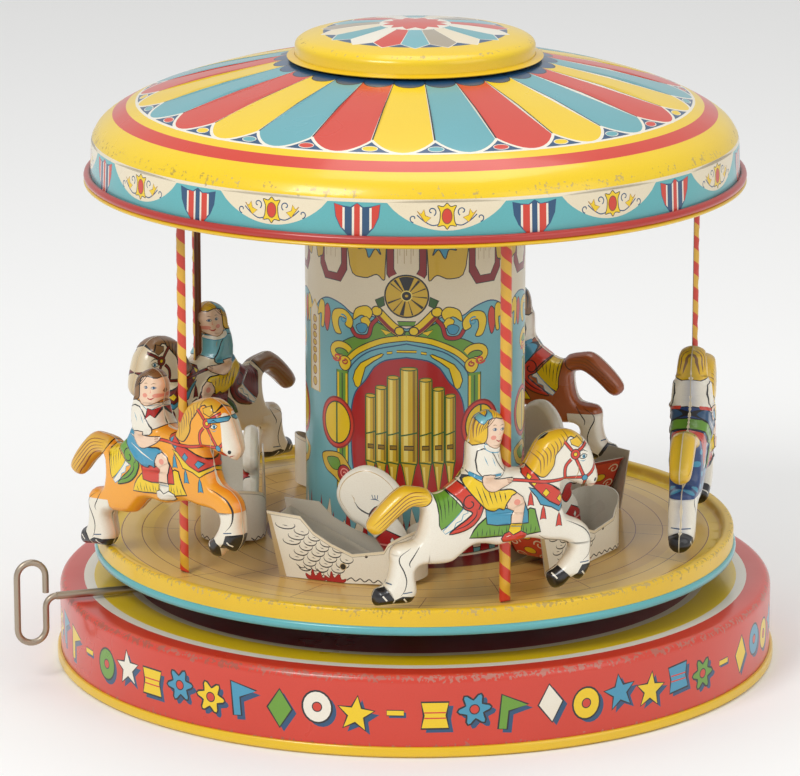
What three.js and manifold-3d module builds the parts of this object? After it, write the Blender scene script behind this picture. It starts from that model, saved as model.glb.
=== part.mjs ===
// Wind-up tin carousel: lithographed base, spring motor, turntable with five horses and five swan
// boats, striped poles, round column and scalloped canopy. Millimetres, +Z up, origin on the
// spindle axis at the floor. The front of the toy faces -Y, and the carousel travels towards +X there.

import * as THREE from 'three';
import { mergeVertices } from 'three/addons/utils/BufferGeometryUtils.js';
import Module from 'manifold-3d';

const wasm = await Module();
wasm.setup();

const TAU = Math.PI * 2;
const RAD = Math.PI / 180;
const RING_SIDES = 40; // facets round the large turned pieces

// ---------- Driving dimensions ----------
const SHEET = 0.8; // modelled thickness of every tinplate wall
const GAP = 0.3; // clearance between pieces that touch
const RUN = 0.3; // clearance round every turning shaft

// Base
const BASE_RADIUS = 131.9; // red wall, outside
const BASE_HEIGHT = 29.6; // top plate, upper face
const HEM_WIDTH = 1.3; // crimped yellow hem of the bottom plate, outside the wall
const HEM_HEIGHT = 4;

// Turntable
const TABLE_INSET = 13.9; // rim wall, inside the base wall
const TABLE_BEAD = 0.9; // rolled hem, outside the rim wall
const TABLE_RIM_RISE = 3.2; // raised lip above the floor
const TABLE_RIM_WIDTH = 4.6;
const TABLE_DROP = 6; // hem bottom below the floor

// Column, canopy and cap
const COLUMN_RADIUS = 40.4;
const COLUMN_MARGIN = 3.6; // flat crown of the canopy, outside the column
const CANOPY_OVERHANG = 0.3; // valance wall, outside the turntable's rim wall
const CANOPY_BEAD = 2.5;
const CANOPY_CLEARANCE = 132.3; // turntable floor to the canopy's hem
const VALANCE_HEIGHT = 17;
const ROOF_RISE = 27.7; // valance top to the flat crown
const CAP_INSET = 0.3; // cap wall, inside the flat crown
const CAP_WALL = 6.2;
const CAP_RISE = 5.7; // dome above the cap wall

// Poles, horses and boats
const RIDE_COUNT = 5; // horses, and swan boats between them
const FIRST_POLE_ANGLE = 18;
const POLE_INSET = 15; // the horses' seam plane, inside the turntable's rim wall
const POLE_WIDTH = 4.1;
const HORSE_DEPTH = 7.6; // one pressed half, seam to crown
const HORSE_BEVEL = 2;
const HORSE_WALL = 0.8;
const BOAT_INSET = 36; // the boats' middle line, inside the horses' seam plane
const BOAT_REAR_WIDTH = 19.6;
const BOAT_FRONT_RADIUS = 12;
const BOAT_REAR = -26; // rear panel's foot, behind the boat's centre
const BOAT_LEAN = 5; // how far the rear panel leans back
const BOAT_FRONT_CENTRE = 14; // centre of the round prow
const BOAT_REAR_HEIGHT = 24;
const BOAT_LOW_HEIGHT = 11;
const BOAT_PROW_HEIGHT = 21;
const NECK_THICKNESS = 6;
const NECK_OFFSET = -6.4; // neck plane, from the boat's middle line

// Motor
const KEY_ANGLE = -72; // direction of the winding key
const KEY_ABOVE_BASE = 2.4; // shaft's axis above the base's top plate
const KEY_BELOW_FLOOR = 14; // shaft's axis below the turntable floor
const KEY_SHAFT_RADIUS = 1.42;
const KEY_WIRE_RADIUS = 1.2;
const KEY_STANDOFF = 14.6; // centre of the key's loop, outside the base wall
const KEY_LOOP_WIDTH = 10.6; // wire centre to wire centre
const KEY_LOOP_HEIGHT = 30.2;
const SPINDLE_RADIUS = 2;
const HUB_RADIUS = 4;
const BEARING_LENGTH = 6;
const PLATE_MARGIN = 4; // motor plates, outside the hole over the motor
const LOWER_PLATE_Z = 5.5;
const UPPER_PLATE_DROP = 7.5; // upper plate's under face, below the key shaft's axis
const PLATE_THICKNESS = 1;
const PILLAR_RADIUS = 3;
const ARBOR_RADIUS = 3; // spring arbor
const THIN_ARBOR_RADIUS = 1.2;

// Gears: module in mm and tooth counts
const DRIVE = { module: 1.25, wheel: 36, pinion: 12 };
const TRAIN = { module: 1.2, wheel: 36, pinion: 8 };
const FAST = { module: 0.9, wheel: 36, pinion: 8 };
const WIND = { module: 0.9, wheel: 24, pinion: 8 };
const RATCHET = { radius: 8, depth: 1.6, teeth: 12 };
const WHEEL_THICKNESS = 1.5;

// ---------- Derived sizes ----------
const KEY_HEIGHT = BASE_HEIGHT + KEY_ABOVE_BASE;
const FLOOR_HEIGHT = KEY_HEIGHT + KEY_BELOW_FLOOR; // turntable floor, upper face
const TABLE_RADIUS = BASE_RADIUS - TABLE_INSET; // rim wall, outside
const CANOPY_RADIUS = TABLE_RADIUS + CANOPY_OVERHANG; // valance wall, outside
const CANOPY_BOTTOM = FLOOR_HEIGHT + CANOPY_CLEARANCE;
const CANOPY_SHOULDER = CANOPY_BOTTOM + VALANCE_HEIGHT;
const CANOPY_CROWN = CANOPY_SHOULDER + ROOF_RISE; // flat crown, upper face
const CANOPY_CROWN_RADIUS = COLUMN_RADIUS + COLUMN_MARGIN;
const CAP_RADIUS = CANOPY_CROWN_RADIUS - CAP_INSET;
const POLE_CIRCLE = TABLE_RADIUS - POLE_INSET;
const BOAT_CENTRE = POLE_CIRCLE - BOAT_INSET;
const KEY_REACH = BASE_RADIUS + KEY_STANDOFF;
const UPPER_PLATE_Z = KEY_HEIGHT - UPPER_PLATE_DROP;
const pitchRadius = (gear, part) => (gear.module * gear[part]) / 2;
const centreDistance = (gear) => pitchRadius(gear, 'wheel') + pitchRadius(gear, 'pinion');
const SPRING_X = centreDistance(DRIVE); // spring arbor, along the key direction from the spindle
const SECOND_X = -centreDistance(TRAIN);
const GOVERNOR_TURN = 105 * RAD; // direction from second arbor to governor
const GOVERNOR_X = SECOND_X + centreDistance(FAST) * Math.cos(GOVERNOR_TURN);
const GOVERNOR_Y = centreDistance(FAST) * Math.sin(GOVERNOR_TURN);
const FLOOR_UNDER = FLOOR_HEIGHT - SHEET;
const HUB_WHEEL_Z = LOWER_PLATE_Z + 2.5;
const HUB_PINION_Z = HUB_WHEEL_Z + WHEEL_THICKNESS + 2.5;
const HUB_PINION_LENGTH = 3;
const GREAT_WHEEL_Z = HUB_PINION_Z + 0.5;
const RATCHET_Z = GREAT_WHEEL_Z + WHEEL_THICKNESS + 0.5;
const SPRING_Z = RATCHET_Z + WHEEL_THICKNESS + 0.9;
const SPRING_WIDTH = UPPER_PLATE_Z - SPRING_Z - 0.9;
const SECOND_WHEEL_Z = RATCHET_Z + WHEEL_THICKNESS + 0.6;
const CROWN_WHEEL_Z = UPPER_PLATE_Z + PLATE_THICKNESS + 0.5;
const CROWN_PITCH_Z = KEY_HEIGHT - pitchRadius(WIND, 'pinion');
const BEARING_START = SPRING_X + pitchRadius(WIND, 'wheel') + 5;
const BASE_HOLE_RADIUS = BEARING_START + BEARING_LENGTH + 0.2; // opening over the motor
const PLATE_RADIUS = BASE_HOLE_RADIUS + PLATE_MARGIN;
const PILLAR_CIRCLE = PLATE_RADIUS - PILLAR_RADIUS * 2;

// ---------- Materials ----------
function material(color, roughness, metalness) {
  return new THREE.MeshStandardMaterial({ color, roughness, metalness });
}

const paint = {
  coral: material(0xe2583f, 0.35, 0.2),
  yellow: material(0xf2d020, 0.35, 0.2),
  tan: material(0xd9ba6e, 0.4, 0.2),
  turquoise: material(0x66b0b6, 0.35, 0.2),
  lightBlue: material(0x80b4bc, 0.4, 0.2),
  red: material(0xc8322a, 0.35, 0.2),
  stripe: material(0xdb6a2c, 0.4, 0.2),
  cream: material(0xe6dcc2, 0.4, 0.2),
  palomino: material(0xe89a2c, 0.4, 0.2),
  white: material(0xe8e4d8, 0.4, 0.2),
  darkBlue: material(0x28466a, 0.4, 0.2),
  bay: material(0xa8552a, 0.4, 0.2),
  grey: material(0xb9b1a0, 0.5, 0.2),
  steel: material(0x8d8a84, 0.4, 0.9),
  darkSteel: material(0x6e5a46, 0.45, 0.9),
  brass: material(0xb8963e, 0.4, 0.9),
};

// ---------- Geometry helpers ----------
const point = (x, y) => new THREE.Vector2(x, y);

/** Closed geometry to manifold solid. */
function toSolid(geometry) {
  let clean = geometry.clone();
  clean.deleteAttribute('normal');
  clean.deleteAttribute('uv');
  clean = mergeVertices(clean, 1e-5);
  return new wasm.Manifold(new wasm.Mesh({
    numProp: 3,
    vertProperties: new Float32Array(clean.attributes.position.array),
    triVerts: new Uint32Array(clean.index.array),
  }));
}

/** Manifold solid back to a three.js geometry. */
function toGeometry(solid) {
  const mesh = solid.getMesh();
  const geometry = new THREE.BufferGeometry();
  geometry.setAttribute('position', new THREE.BufferAttribute(mesh.vertProperties.slice(), 3));
  geometry.setIndex(new THREE.BufferAttribute(mesh.triVerts.slice(), 1));
  geometry.computeVertexNormals();
  return geometry;
}

function join(first, ...others) {
  let solid = toSolid(first);
  for (const other of others) {
    solid = solid.add(toSolid(other));
  }
  return toGeometry(solid);
}

function cut(first, ...cutters) {
  let solid = toSolid(first);
  for (const cutter of cutters) {
    solid = solid.subtract(toSolid(cutter));
  }
  return toGeometry(solid);
}

/** Upright cylinder from z = bottom to z = top. */
function rod(radius, bottom, top, sides = 16) {
  const geometry = new THREE.CylinderGeometry(radius, radius, top - bottom, sides);
  geometry.rotateX(Math.PI / 2);
  geometry.translate(0, 0, (top + bottom) / 2);
  return geometry;
}

/** Box given by its low and high corners. */
function block(low, high) {
  const geometry = new THREE.BoxGeometry(high[0] - low[0], high[1] - low[1], high[2] - low[2]);
  geometry.translate((low[0] + high[0]) / 2, (low[1] + high[1]) / 2, (low[2] + high[2]) / 2);
  return geometry;
}

/** Flat outline raised from z = bottom by height, with round holes [x, y, radius]. */
function plate(outline, bottom, height, holes = [], sides = 16) {
  const shape = new THREE.Shape(outline);
  for (const [x, y, radius] of holes) {
    shape.holes.push(new THREE.Path(circle(radius, sides).map((p) => point(p.x + x, p.y + y))));
  }
  const geometry = new THREE.ExtrudeGeometry(shape, { depth: height, bevelEnabled: false });
  geometry.translate(0, 0, bottom);
  return geometry;
}

function circle(radius, sides) {
  return Array.from({ length: sides }, (_, i) =>
    point(radius * Math.cos((TAU * i) / sides), radius * Math.sin((TAU * i) / sides)));
}

/** Ring turned from a closed profile of [radius, z] points, about the Z axis. */
function turned(profile, segments) {
  const points = profile.map(([r, z]) => point(r, z));
  if (profile[0][0] > 0) {
    points.push(points[0].clone());
  }
  const geometry = new THREE.LatheGeometry(points, segments);
  geometry.rotateX(Math.PI / 2);
  return solidFacingOut(geometry);
}

/** Turns every face outwards when a closed surface came out inside out. */
function solidFacingOut(geometry) {
  let clean = geometry.clone();
  clean.deleteAttribute('normal');
  clean.deleteAttribute('uv');
  clean = mergeVertices(clean, 1e-4);
  const kept = withoutThinFaces(clean.index.array);
  const position = clean.attributes.position;
  const a = new THREE.Vector3();
  const b = new THREE.Vector3();
  const c = new THREE.Vector3();
  let volume = 0;
  for (let i = 0; i < kept.length; i += 3) {
    a.fromBufferAttribute(position, kept[i]);
    b.fromBufferAttribute(position, kept[i + 1]);
    c.fromBufferAttribute(position, kept[i + 2]);
    volume += a.dot(b.cross(c));
  }
  if (volume < 0) {
    for (let i = 0; i < kept.length; i += 3) {
      [kept[i + 1], kept[i + 2]] = [kept[i + 2], kept[i + 1]];
    }
  }
  clean.setIndex(kept);
  clean.computeVertexNormals();
  return clean;
}

function withoutThinFaces(index) {
  const kept = [];
  for (let i = 0; i < index.length; i += 3) {
    const [p, q, r] = [index[i], index[i + 1], index[i + 2]];
    if (p !== q && q !== r && r !== p) {
      kept.push(p, q, r);
    }
  }
  return kept;
}

/** Spur gear outline; a tooth is centred on the angle phase. */
function gearOutline(teeth, module, phase) {
  const pitch = (teeth * module) / 2;
  const tip = pitch + 0.75 * module;
  const root = pitch - 1.1 * module;
  const half = (0.21 * TAU) / teeth;
  const outline = [];
  for (let i = 0; i < teeth; i += 1) {
    const middle = phase + (TAU * i) / teeth;
    for (const [radius, offset] of [[root, -1.35], [tip, -0.5], [tip, 0.5], [root, 1.35]]) {
      const angle = middle + offset * half;
      outline.push(point(radius * Math.cos(angle), radius * Math.sin(angle)));
    }
  }
  return outline;
}

function gear(teeth, module, phase, bottom, height, bore) {
  return plate(gearOutline(teeth, module, phase), bottom, height, [[0, 0, bore]]);
}

/** Outline moved inwards by distance, corner by corner. */
function inset(outline, distance) {
  const count = outline.length;
  const turn = THREE.ShapeUtils.isClockWise(outline) ? -1 : 1;
  return outline.map((corner, i) => {
    const before = outline[(i + count - 1) % count];
    const after = outline[(i + 1) % count];
    const along = corner.clone().sub(before).normalize();
    const next = after.clone().sub(corner).normalize();
    const normal = point(-(along.y + next.y), along.x + next.x).normalize().multiplyScalar(turn);
    const stretch = Math.min(1 / Math.max(normal.dot(point(-along.y, along.x)) * turn, 0.4), 2.2);
    return corner.clone().addScaledVector(normal, distance * stretch);
  });
}

/** Extruded plate with a bevelled crown, standing on z = 0. */
function embossed(outline, depth, bevel) {
  const geometry = new THREE.ExtrudeGeometry(new THREE.Shape(outline), {
    depth: depth * 2 - bevel * 2,
    bevelThickness: bevel,
    bevelSize: bevel,
    bevelOffset: -bevel,
    bevelSegments: 1,
  });
  geometry.translate(0, 0, -(depth - bevel));
  return geometry;
}

/** Mirror image of a solid across z = 0. */
function mirrored(geometry) {
  const copy = geometry.clone();
  copy.scale(1, 1, -1);
  return solidFacingOut(copy.index ? copy : mergeVertices(copy));
}

/** Frame that stands at an angle round the spindle: +X is the travel direction, -Y points outwards. */
function station(angle) {
  const group = new THREE.Group();
  group.rotation.z = angle * RAD;
  return group;
}

const toy = new THREE.Group();

function addMesh(parent, name, geometry, finish) {
  const mesh = new THREE.Mesh(geometry, finish);
  mesh.name = name;
  parent.add(mesh);
  return mesh;
}

// ---------- Base ----------
function makeBase() {
  const inner = BASE_RADIUS - SHEET;
  const foot = SHEET + GAP;
  const bend = 2.6;
  const shell = turned([
    [BASE_RADIUS, foot],
    [BASE_RADIUS, BASE_HEIGHT - bend],
    [BASE_RADIUS - 0.8, BASE_HEIGHT - 0.8],
    [BASE_RADIUS - bend, BASE_HEIGHT],
    [BASE_HOLE_RADIUS, BASE_HEIGHT],
    [BASE_HOLE_RADIUS, BASE_HEIGHT - SHEET],
    [inner - bend, BASE_HEIGHT - SHEET],
    [inner, BASE_HEIGHT - SHEET - bend],
    [inner, foot],
  ], RING_SIDES);
  addMesh(toy, 'base_shell', shell, paint.coral);

  const rim = BASE_RADIUS + GAP;
  const bottom = turned([
    [0, 0],
    [BASE_RADIUS, 0],
    [BASE_RADIUS + HEM_WIDTH, 1.2],
    [BASE_RADIUS + HEM_WIDTH, HEM_HEIGHT - 0.7],
    [rim, HEM_HEIGHT],
    [rim, SHEET],
    [0, SHEET],
  ], RING_SIDES);
  addMesh(toy, 'base_bottom_plate', bottom, paint.yellow);
}

// ---------- Motor frame, in the key's direction ----------
const motor = station(KEY_ANGLE - 90);
toy.add(motor);

const pillarPlaces = [60, 180, 300].map((angle) => [
  PILLAR_CIRCLE * Math.cos(angle * RAD),
  PILLAR_CIRCLE * Math.sin(angle * RAD),
]);

function makeMotorFrame() {
  const pillarHoles = pillarPlaces.map(([x, y]) => [x, y, PILLAR_RADIUS + GAP]);
  const lower = plate(circle(PLATE_RADIUS, 40), LOWER_PLATE_Z, PLATE_THICKNESS, [
    ...pillarHoles,
    [0, 0, SPINDLE_RADIUS + GAP],
  ], 12);
  addMesh(motor, 'motor_lower_plate', lower, paint.steel);

  const upper = plate(circle(PLATE_RADIUS, 40), UPPER_PLATE_Z, PLATE_THICKNESS, [
    [0, 0, HUB_RADIUS + RUN],
    [SPRING_X, 0, ARBOR_RADIUS + RUN],
    [SECOND_X, 0, THIN_ARBOR_RADIUS + RUN],
    [GOVERNOR_X, GOVERNOR_Y, THIN_ARBOR_RADIUS + RUN],
  ], 12);
  addMesh(motor, 'motor_upper_plate', upper, paint.steel);

  pillarPlaces.forEach(([x, y], i) => {
    const pillar = rod(PILLAR_RADIUS, SHEET + GAP, UPPER_PLATE_Z - GAP, 12);
    pillar.translate(x, y, 0);
    addMesh(motor, `motor_pillar_${i + 1}`, pillar, paint.steel);
  });

  const spindleTop = CANOPY_CROWN + 3;
  addMesh(motor, 'spindle', rod(SPINDLE_RADIUS, SHEET + GAP, spindleTop, 12), paint.steel);
}

function makeKeyBearing() {
  const start = BEARING_START;
  const length = BEARING_LENGTH;
  const foot = UPPER_PLATE_Z + PLATE_THICKNESS + GAP;
  const boss = rod(KEY_SHAFT_RADIUS + 2, 0, length, 12);
  boss.rotateY(Math.PI / 2);
  boss.translate(start, 0, KEY_HEIGHT);
  const bore = rod(KEY_SHAFT_RADIUS + RUN, -1, length + 1, 12);
  bore.rotateY(Math.PI / 2);
  bore.translate(start, 0, KEY_HEIGHT);
  const post = block([start + 1, -3, foot], [start + 3, 3, KEY_HEIGHT]);
  const base = block([start, -6, foot], [start + length - 1, 6, foot + SHEET]);
  addMesh(motor, 'key_bearing', cut(join(boss, post, base), bore), paint.steel);
}

// ---------- Key and winding pinion ----------
function makeKey() {
  const inboard = SPRING_X + pitchRadius(WIND, 'wheel') - 3;
  const near = KEY_REACH - KEY_LOOP_WIDTH / 2;
  const far = KEY_REACH + KEY_LOOP_WIDTH / 2;
  const bend = KEY_LOOP_WIDTH / 2;
  const rise = KEY_LOOP_HEIGHT / 2 - bend;
  const wire = new THREE.CurvePath();
  const at = (x, z) => new THREE.Vector3(x, 0, KEY_HEIGHT + z);
  wire.add(new THREE.QuadraticBezierCurve3(at(near - 4, 0), at(near, -0.6), at(near, -4)));
  wire.add(new THREE.LineCurve3(at(near, -4), at(near, -rise)));
  wire.add(arcXZ(at(KEY_REACH, -rise), bend, Math.PI, TAU));
  wire.add(new THREE.LineCurve3(at(far, -rise), at(far, rise)));
  wire.add(arcXZ(at(KEY_REACH, rise), bend, 0, Math.PI));
  wire.add(new THREE.LineCurve3(at(near, rise), at(near, 0.4)));
  const loop = new THREE.ExtrudeGeometry(new THREE.Shape(circle(KEY_WIRE_RADIUS, 6)), {
    steps: 34,
    extrudePath: wire,
  });
  const shaft = rod(KEY_SHAFT_RADIUS, 0, near - inboard, 10);
  shaft.rotateY(Math.PI / 2);
  shaft.translate(inboard, 0, KEY_HEIGHT);
  addMesh(motor, 'key_wire', join(shaft, loop), paint.darkSteel);

  const width = 3;
  const phase = 0; // a tooth points down into the crown wheel
  const bore = KEY_SHAFT_RADIUS + GAP;
  const pinion = gear(WIND.pinion, WIND.module, phase, -width / 2, width, bore);
  pinion.rotateY(Math.PI / 2);
  pinion.translate(SPRING_X + pitchRadius(WIND, 'wheel'), 0, KEY_HEIGHT);
  addMesh(motor, 'winding_pinion', pinion, paint.brass);
}

/** Circular arc in the XZ plane, as a curve of its own. */
function arcXZ(centre, radius, from, to) {
  const curve = new THREE.Curve();
  curve.getPoint = (t, target = new THREE.Vector3()) => {
    const angle = from + (to - from) * t;
    return target.set(
      centre.x + radius * Math.cos(angle),
      0,
      centre.z + radius * Math.sin(angle),
    );
  };
  return curve;
}

// ---------- Spring arbor with crown wheel and ratchet ----------
function makeSpringArbor() {
  const arbor = rod(ARBOR_RADIUS, LOWER_PLATE_Z + PLATE_THICKNESS + GAP, CROWN_WHEEL_Z + 1.3, 12);
  arbor.translate(SPRING_X, 0, 0);
  addMesh(motor, 'spring_arbor', arbor, paint.steel);

  const pitch = pitchRadius(WIND, 'wheel');
  const toothWidth = 3;
  const toothTop = CROWN_PITCH_Z + 0.6 * WIND.module;
  const discTop = KEY_HEIGHT - pitchRadius(WIND, 'pinion') - 1.2 * WIND.module;
  const disc = plate(circle(pitch + toothWidth / 2, 24), CROWN_WHEEL_Z, discTop - CROWN_WHEEL_Z, [
    [0, 0, ARBOR_RADIUS + GAP],
  ], 12);
  const teeth = [];
  for (let i = 0; i < WIND.wheel; i += 1) {
    const half = 0.21 * WIND.module * Math.PI;
    const section = new THREE.Shape([
      point(-half * 1.3, discTop - 0.4),
      point(half * 1.3, discTop - 0.4),
      point(half * 0.6, toothTop),
      point(-half * 0.6, toothTop),
    ]);
    const tooth = new THREE.ExtrudeGeometry(section, { depth: toothWidth - 0.4, bevelEnabled: false });
    tooth.rotateX(Math.PI / 2);
    tooth.rotateZ(Math.PI);
    tooth.translate(0, pitch - toothWidth / 2 + 0.1, 0);
    tooth.rotateZ((TAU * (i + 0.5)) / WIND.wheel);
    teeth.push(tooth);
  }
  const crown = join(disc, ...teeth);
  crown.translate(SPRING_X, 0, 0);
  addMesh(motor, 'winding_crown_wheel', crown, paint.brass);

  const ratchet = plate(ratchetOutline(), RATCHET_Z, WHEEL_THICKNESS, [[0, 0, ARBOR_RADIUS + GAP]], 12);
  ratchet.translate(SPRING_X, 0, 0);
  addMesh(motor, 'ratchet_wheel', ratchet, paint.steel);
}

function ratchetOutline() {
  const outline = [];
  for (let i = 0; i < RATCHET.teeth; i += 1) {
    const angle = (TAU * i) / RATCHET.teeth;
    for (const radius of [RATCHET.radius - RATCHET.depth, RATCHET.radius]) {
      outline.push(point(radius * Math.cos(angle), radius * Math.sin(angle)));
    }
  }
  return outline;
}

function makeMainspring() {
  const turns = 4.5;
  const perTurn = 12;
  const inner = ARBOR_RADIUS + 1.4;
  const outer = RATCHET.radius * 2.1;
  const half = 0.25;
  const steps = turns * perTurn;
  const outside = [];
  const inside = [];
  for (let i = 0; i <= steps; i += 1) {
    const radius = inner + ((outer - inner) * i) / steps;
    const angle = Math.PI / 2 + (TAU * (i - steps)) / perTurn;
    outside.push(point((radius + half) * Math.cos(angle), (radius + half) * Math.sin(angle)));
    inside.push(point((radius - half) * Math.cos(angle), (radius - half) * Math.sin(angle)));
  }
  const [anchorX, anchorY] = pillarPlaces[0];
  const reach = anchorY - PILLAR_RADIUS - GAP * 2;
  outside.push(point(anchorX - SPRING_X - 1 + half, reach), point(anchorX - SPRING_X - 1 - half, reach));
  const strip = plate([...outside, ...inside.reverse()], SPRING_Z, SPRING_WIDTH);
  strip.translate(SPRING_X, 0, 0);
  addMesh(motor, 'mainspring', strip, paint.darkSteel);
}

// ---------- Great wheel with its click ----------
const CLICK_PIVOT = [RATCHET.radius + 5, 0];
const CLICK_PIN_RADIUS = 1.1;

function makeGreatWheel() {
  const mesh = Math.PI; // tooth gap faces the hub pinion
  const phase = mesh + TAU / DRIVE.wheel / 2;
  const wheel = gear(DRIVE.wheel, DRIVE.module, phase, GREAT_WHEEL_Z, WHEEL_THICKNESS, ARBOR_RADIUS + RUN);
  const top = GREAT_WHEEL_Z + WHEEL_THICKNESS;
  const pin = rod(CLICK_PIN_RADIUS, top - 0.5, RATCHET_Z + WHEEL_THICKNESS, 8);
  pin.translate(CLICK_PIVOT[0], CLICK_PIVOT[1], 0);
  const great = join(wheel, pin);
  great.translate(SPRING_X, 0, 0);
  addMesh(motor, 'great_wheel', great, paint.brass);

  // The click leans against the steep face of a ratchet tooth.
  const tipAngle = (TAU * 2) / RATCHET.teeth;
  const tipRadius = RATCHET.radius - RATCHET.depth * 0.35;
  const polar = (radius, angle) => point(radius * Math.cos(angle), radius * Math.sin(angle));
  const tip = polar(tipRadius, tipAngle - (GAP * 1.6) / tipRadius);
  const body = [
    tip,
    polar(RATCHET.radius + GAP, tipAngle - 24 * RAD),
    point(CLICK_PIVOT[0] - 2.2, CLICK_PIVOT[1] - 0.6),
    point(CLICK_PIVOT[0] - 1, CLICK_PIVOT[1] - 2.2),
    point(CLICK_PIVOT[0] + 1.6, CLICK_PIVOT[1] - 1.8),
    point(CLICK_PIVOT[0] + 2.3, CLICK_PIVOT[1] + 0.4),
    point(CLICK_PIVOT[0] + 0.6, CLICK_PIVOT[1] + 2.4),
    point(tip.x + 1.3, tip.y + 0.6),
  ];
  const click = plate(body, RATCHET_Z, WHEEL_THICKNESS, [[...CLICK_PIVOT, CLICK_PIN_RADIUS + RUN]], 8);
  click.translate(SPRING_X, 0, 0);
  addMesh(motor, 'click', click, paint.steel);

  const leaf = block([CLICK_PIVOT[0] - 2, 4.6, RATCHET_Z], [CLICK_PIVOT[0] + 4.5, 5, RATCHET_Z + 1]);
  const anchor = rod(0.9, top - 0.2 + 0.5, RATCHET_Z + 1, 8);
  anchor.translate(CLICK_PIVOT[0] + 4.5, 4.8, 0);
  const spring = join(leaf, anchor);
  spring.translate(SPRING_X, 0, 0);
  addMesh(motor, 'click_spring', spring, paint.darkSteel);
}

// ---------- Second arbor and air governor ----------
function makeSpeedTrain() {
  const foot = LOWER_PLATE_Z + PLATE_THICKNESS + GAP;
  const top = UPPER_PLATE_Z + PLATE_THICKNESS + 1;
  const leavesPhase = 0; // a leaf of the second pinion points at the hub wheel
  const secondPinion = plate(
    gearOutline(TRAIN.pinion, TRAIN.module, leavesPhase), HUB_WHEEL_Z - 0.4, WHEEL_THICKNESS + 0.8);
  const second = join(rod(THIN_ARBOR_RADIUS, foot, top, 8), secondPinion);
  second.translate(SECOND_X, 0, 0);
  addMesh(motor, 'second_arbor', second, paint.steel);

  const toGovernor = GOVERNOR_TURN;
  const wheelPhase = toGovernor + TAU / FAST.wheel / 2;
  const bore = THIN_ARBOR_RADIUS + GAP;
  const wheel = gear(FAST.wheel, FAST.module, wheelPhase, SECOND_WHEEL_Z, WHEEL_THICKNESS, bore);
  wheel.translate(SECOND_X, 0, 0);
  addMesh(motor, 'second_wheel', wheel, paint.brass);

  const governorPinion = plate(
    gearOutline(FAST.pinion, FAST.module, toGovernor + Math.PI), SECOND_WHEEL_Z - 0.4, WHEEL_THICKNESS + 0.8);
  const governor = join(rod(THIN_ARBOR_RADIUS, foot, top, 8), governorPinion);
  governor.translate(GOVERNOR_X, GOVERNOR_Y, 0);
  addMesh(motor, 'governor_arbor', governor, paint.steel);

  const vaneBottom = foot + 1.2;
  const vaneTop = SECOND_WHEEL_Z - 1.6;
  const vane = block([-8, -0.4, vaneBottom], [8, 0.4, vaneTop]);
  const sleeve = rod(THIN_ARBOR_RADIUS + 1.2, vaneBottom, vaneTop, 8);
  const bores = rod(THIN_ARBOR_RADIUS + GAP, vaneBottom - 1, vaneTop + 1, 8);
  const fan = cut(join(vane, sleeve), bores);
  fan.rotateZ(35 * RAD);
  fan.translate(GOVERNOR_X, GOVERNOR_Y, 0);
  addMesh(motor, 'governor_fan', fan, paint.brass);
}

// ---------- Hub under the turntable ----------
function makeHub() {
  const bore = rod(SPINDLE_RADIUS + RUN, 0, FLOOR_HEIGHT + 1, 12);
  const tube = rod(HUB_RADIUS, LOWER_PLATE_Z + PLATE_THICKNESS + GAP, FLOOR_UNDER - GAP, 12);
  const flange = rod(14, FLOOR_UNDER - GAP - 1.2, FLOOR_UNDER - GAP, 20);
  addMesh(motor, 'hub_sleeve', cut(join(tube, flange), bore), paint.steel);

  const hubBore = HUB_RADIUS + GAP;
  const pinion = gear(DRIVE.pinion, DRIVE.module, 0, HUB_PINION_Z, HUB_PINION_LENGTH, hubBore);
  addMesh(motor, 'hub_pinion', pinion, paint.brass);

  const phase = Math.PI + TAU / TRAIN.wheel / 2;
  const wheel = gear(TRAIN.wheel, TRAIN.module, phase, HUB_WHEEL_Z, WHEEL_THICKNESS, hubBore);
  addMesh(motor, 'hub_wheel', wheel, paint.brass);
}

// ---------- Turntable, column, canopy and cap ----------
function makeTurntable() {
  const lip = FLOOR_HEIGHT + TABLE_RIM_RISE;
  const floorEdge = TABLE_RADIUS - TABLE_RIM_WIDTH;
  const hemBottom = FLOOR_HEIGHT - TABLE_DROP;
  const inner = TABLE_RADIUS - SHEET;
  const table = turned([
    [HUB_RADIUS + GAP, FLOOR_HEIGHT],
    [floorEdge, FLOOR_HEIGHT],
    [floorEdge + 1.4, lip],
    [TABLE_RADIUS - 0.6, lip],
    [TABLE_RADIUS, lip - 0.6],
    [TABLE_RADIUS, hemBottom + 3],
    [TABLE_RADIUS + TABLE_BEAD, hemBottom + 2.3],
    [TABLE_RADIUS + TABLE_BEAD, hemBottom + 0.7],
    [TABLE_RADIUS, hemBottom],
    [inner, hemBottom + 0.5],
    [inner, lip - SHEET],
    [floorEdge + 1.9, lip - SHEET],
    [floorEdge + 0.6, FLOOR_UNDER],
    [HUB_RADIUS + GAP, FLOOR_UNDER],
  ], RING_SIDES);
  addMesh(toy, 'turntable', table, paint.tan);
}

function makeColumn() {
  const foot = FLOOR_HEIGHT + GAP;
  const top = CANOPY_CROWN - SHEET - GAP;
  const inner = COLUMN_RADIUS - SHEET;
  const tube = turned([
    [COLUMN_RADIUS, foot],
    [COLUMN_RADIUS, top],
    [inner, top],
    [inner, foot],
  ], 30);
  addMesh(toy, 'column', tube, paint.lightBlue);
}

// Roof line from the crown to the shoulder, as fractions of run and of drop.
const ROOF_LINE = [[0, 0], [0.227, 0.127], [0.511, 0.291], [0.766, 0.491], [0.908, 0.673], [1, 0.836]];

function roofPoint(run, drop) {
  const reach = CANOPY_RADIUS - 3.8 - CANOPY_CROWN_RADIUS;
  const fall = CANOPY_CROWN - CANOPY_SHOULDER;
  return [CANOPY_CROWN_RADIUS + reach * run, CANOPY_CROWN - fall * drop];
}

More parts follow.
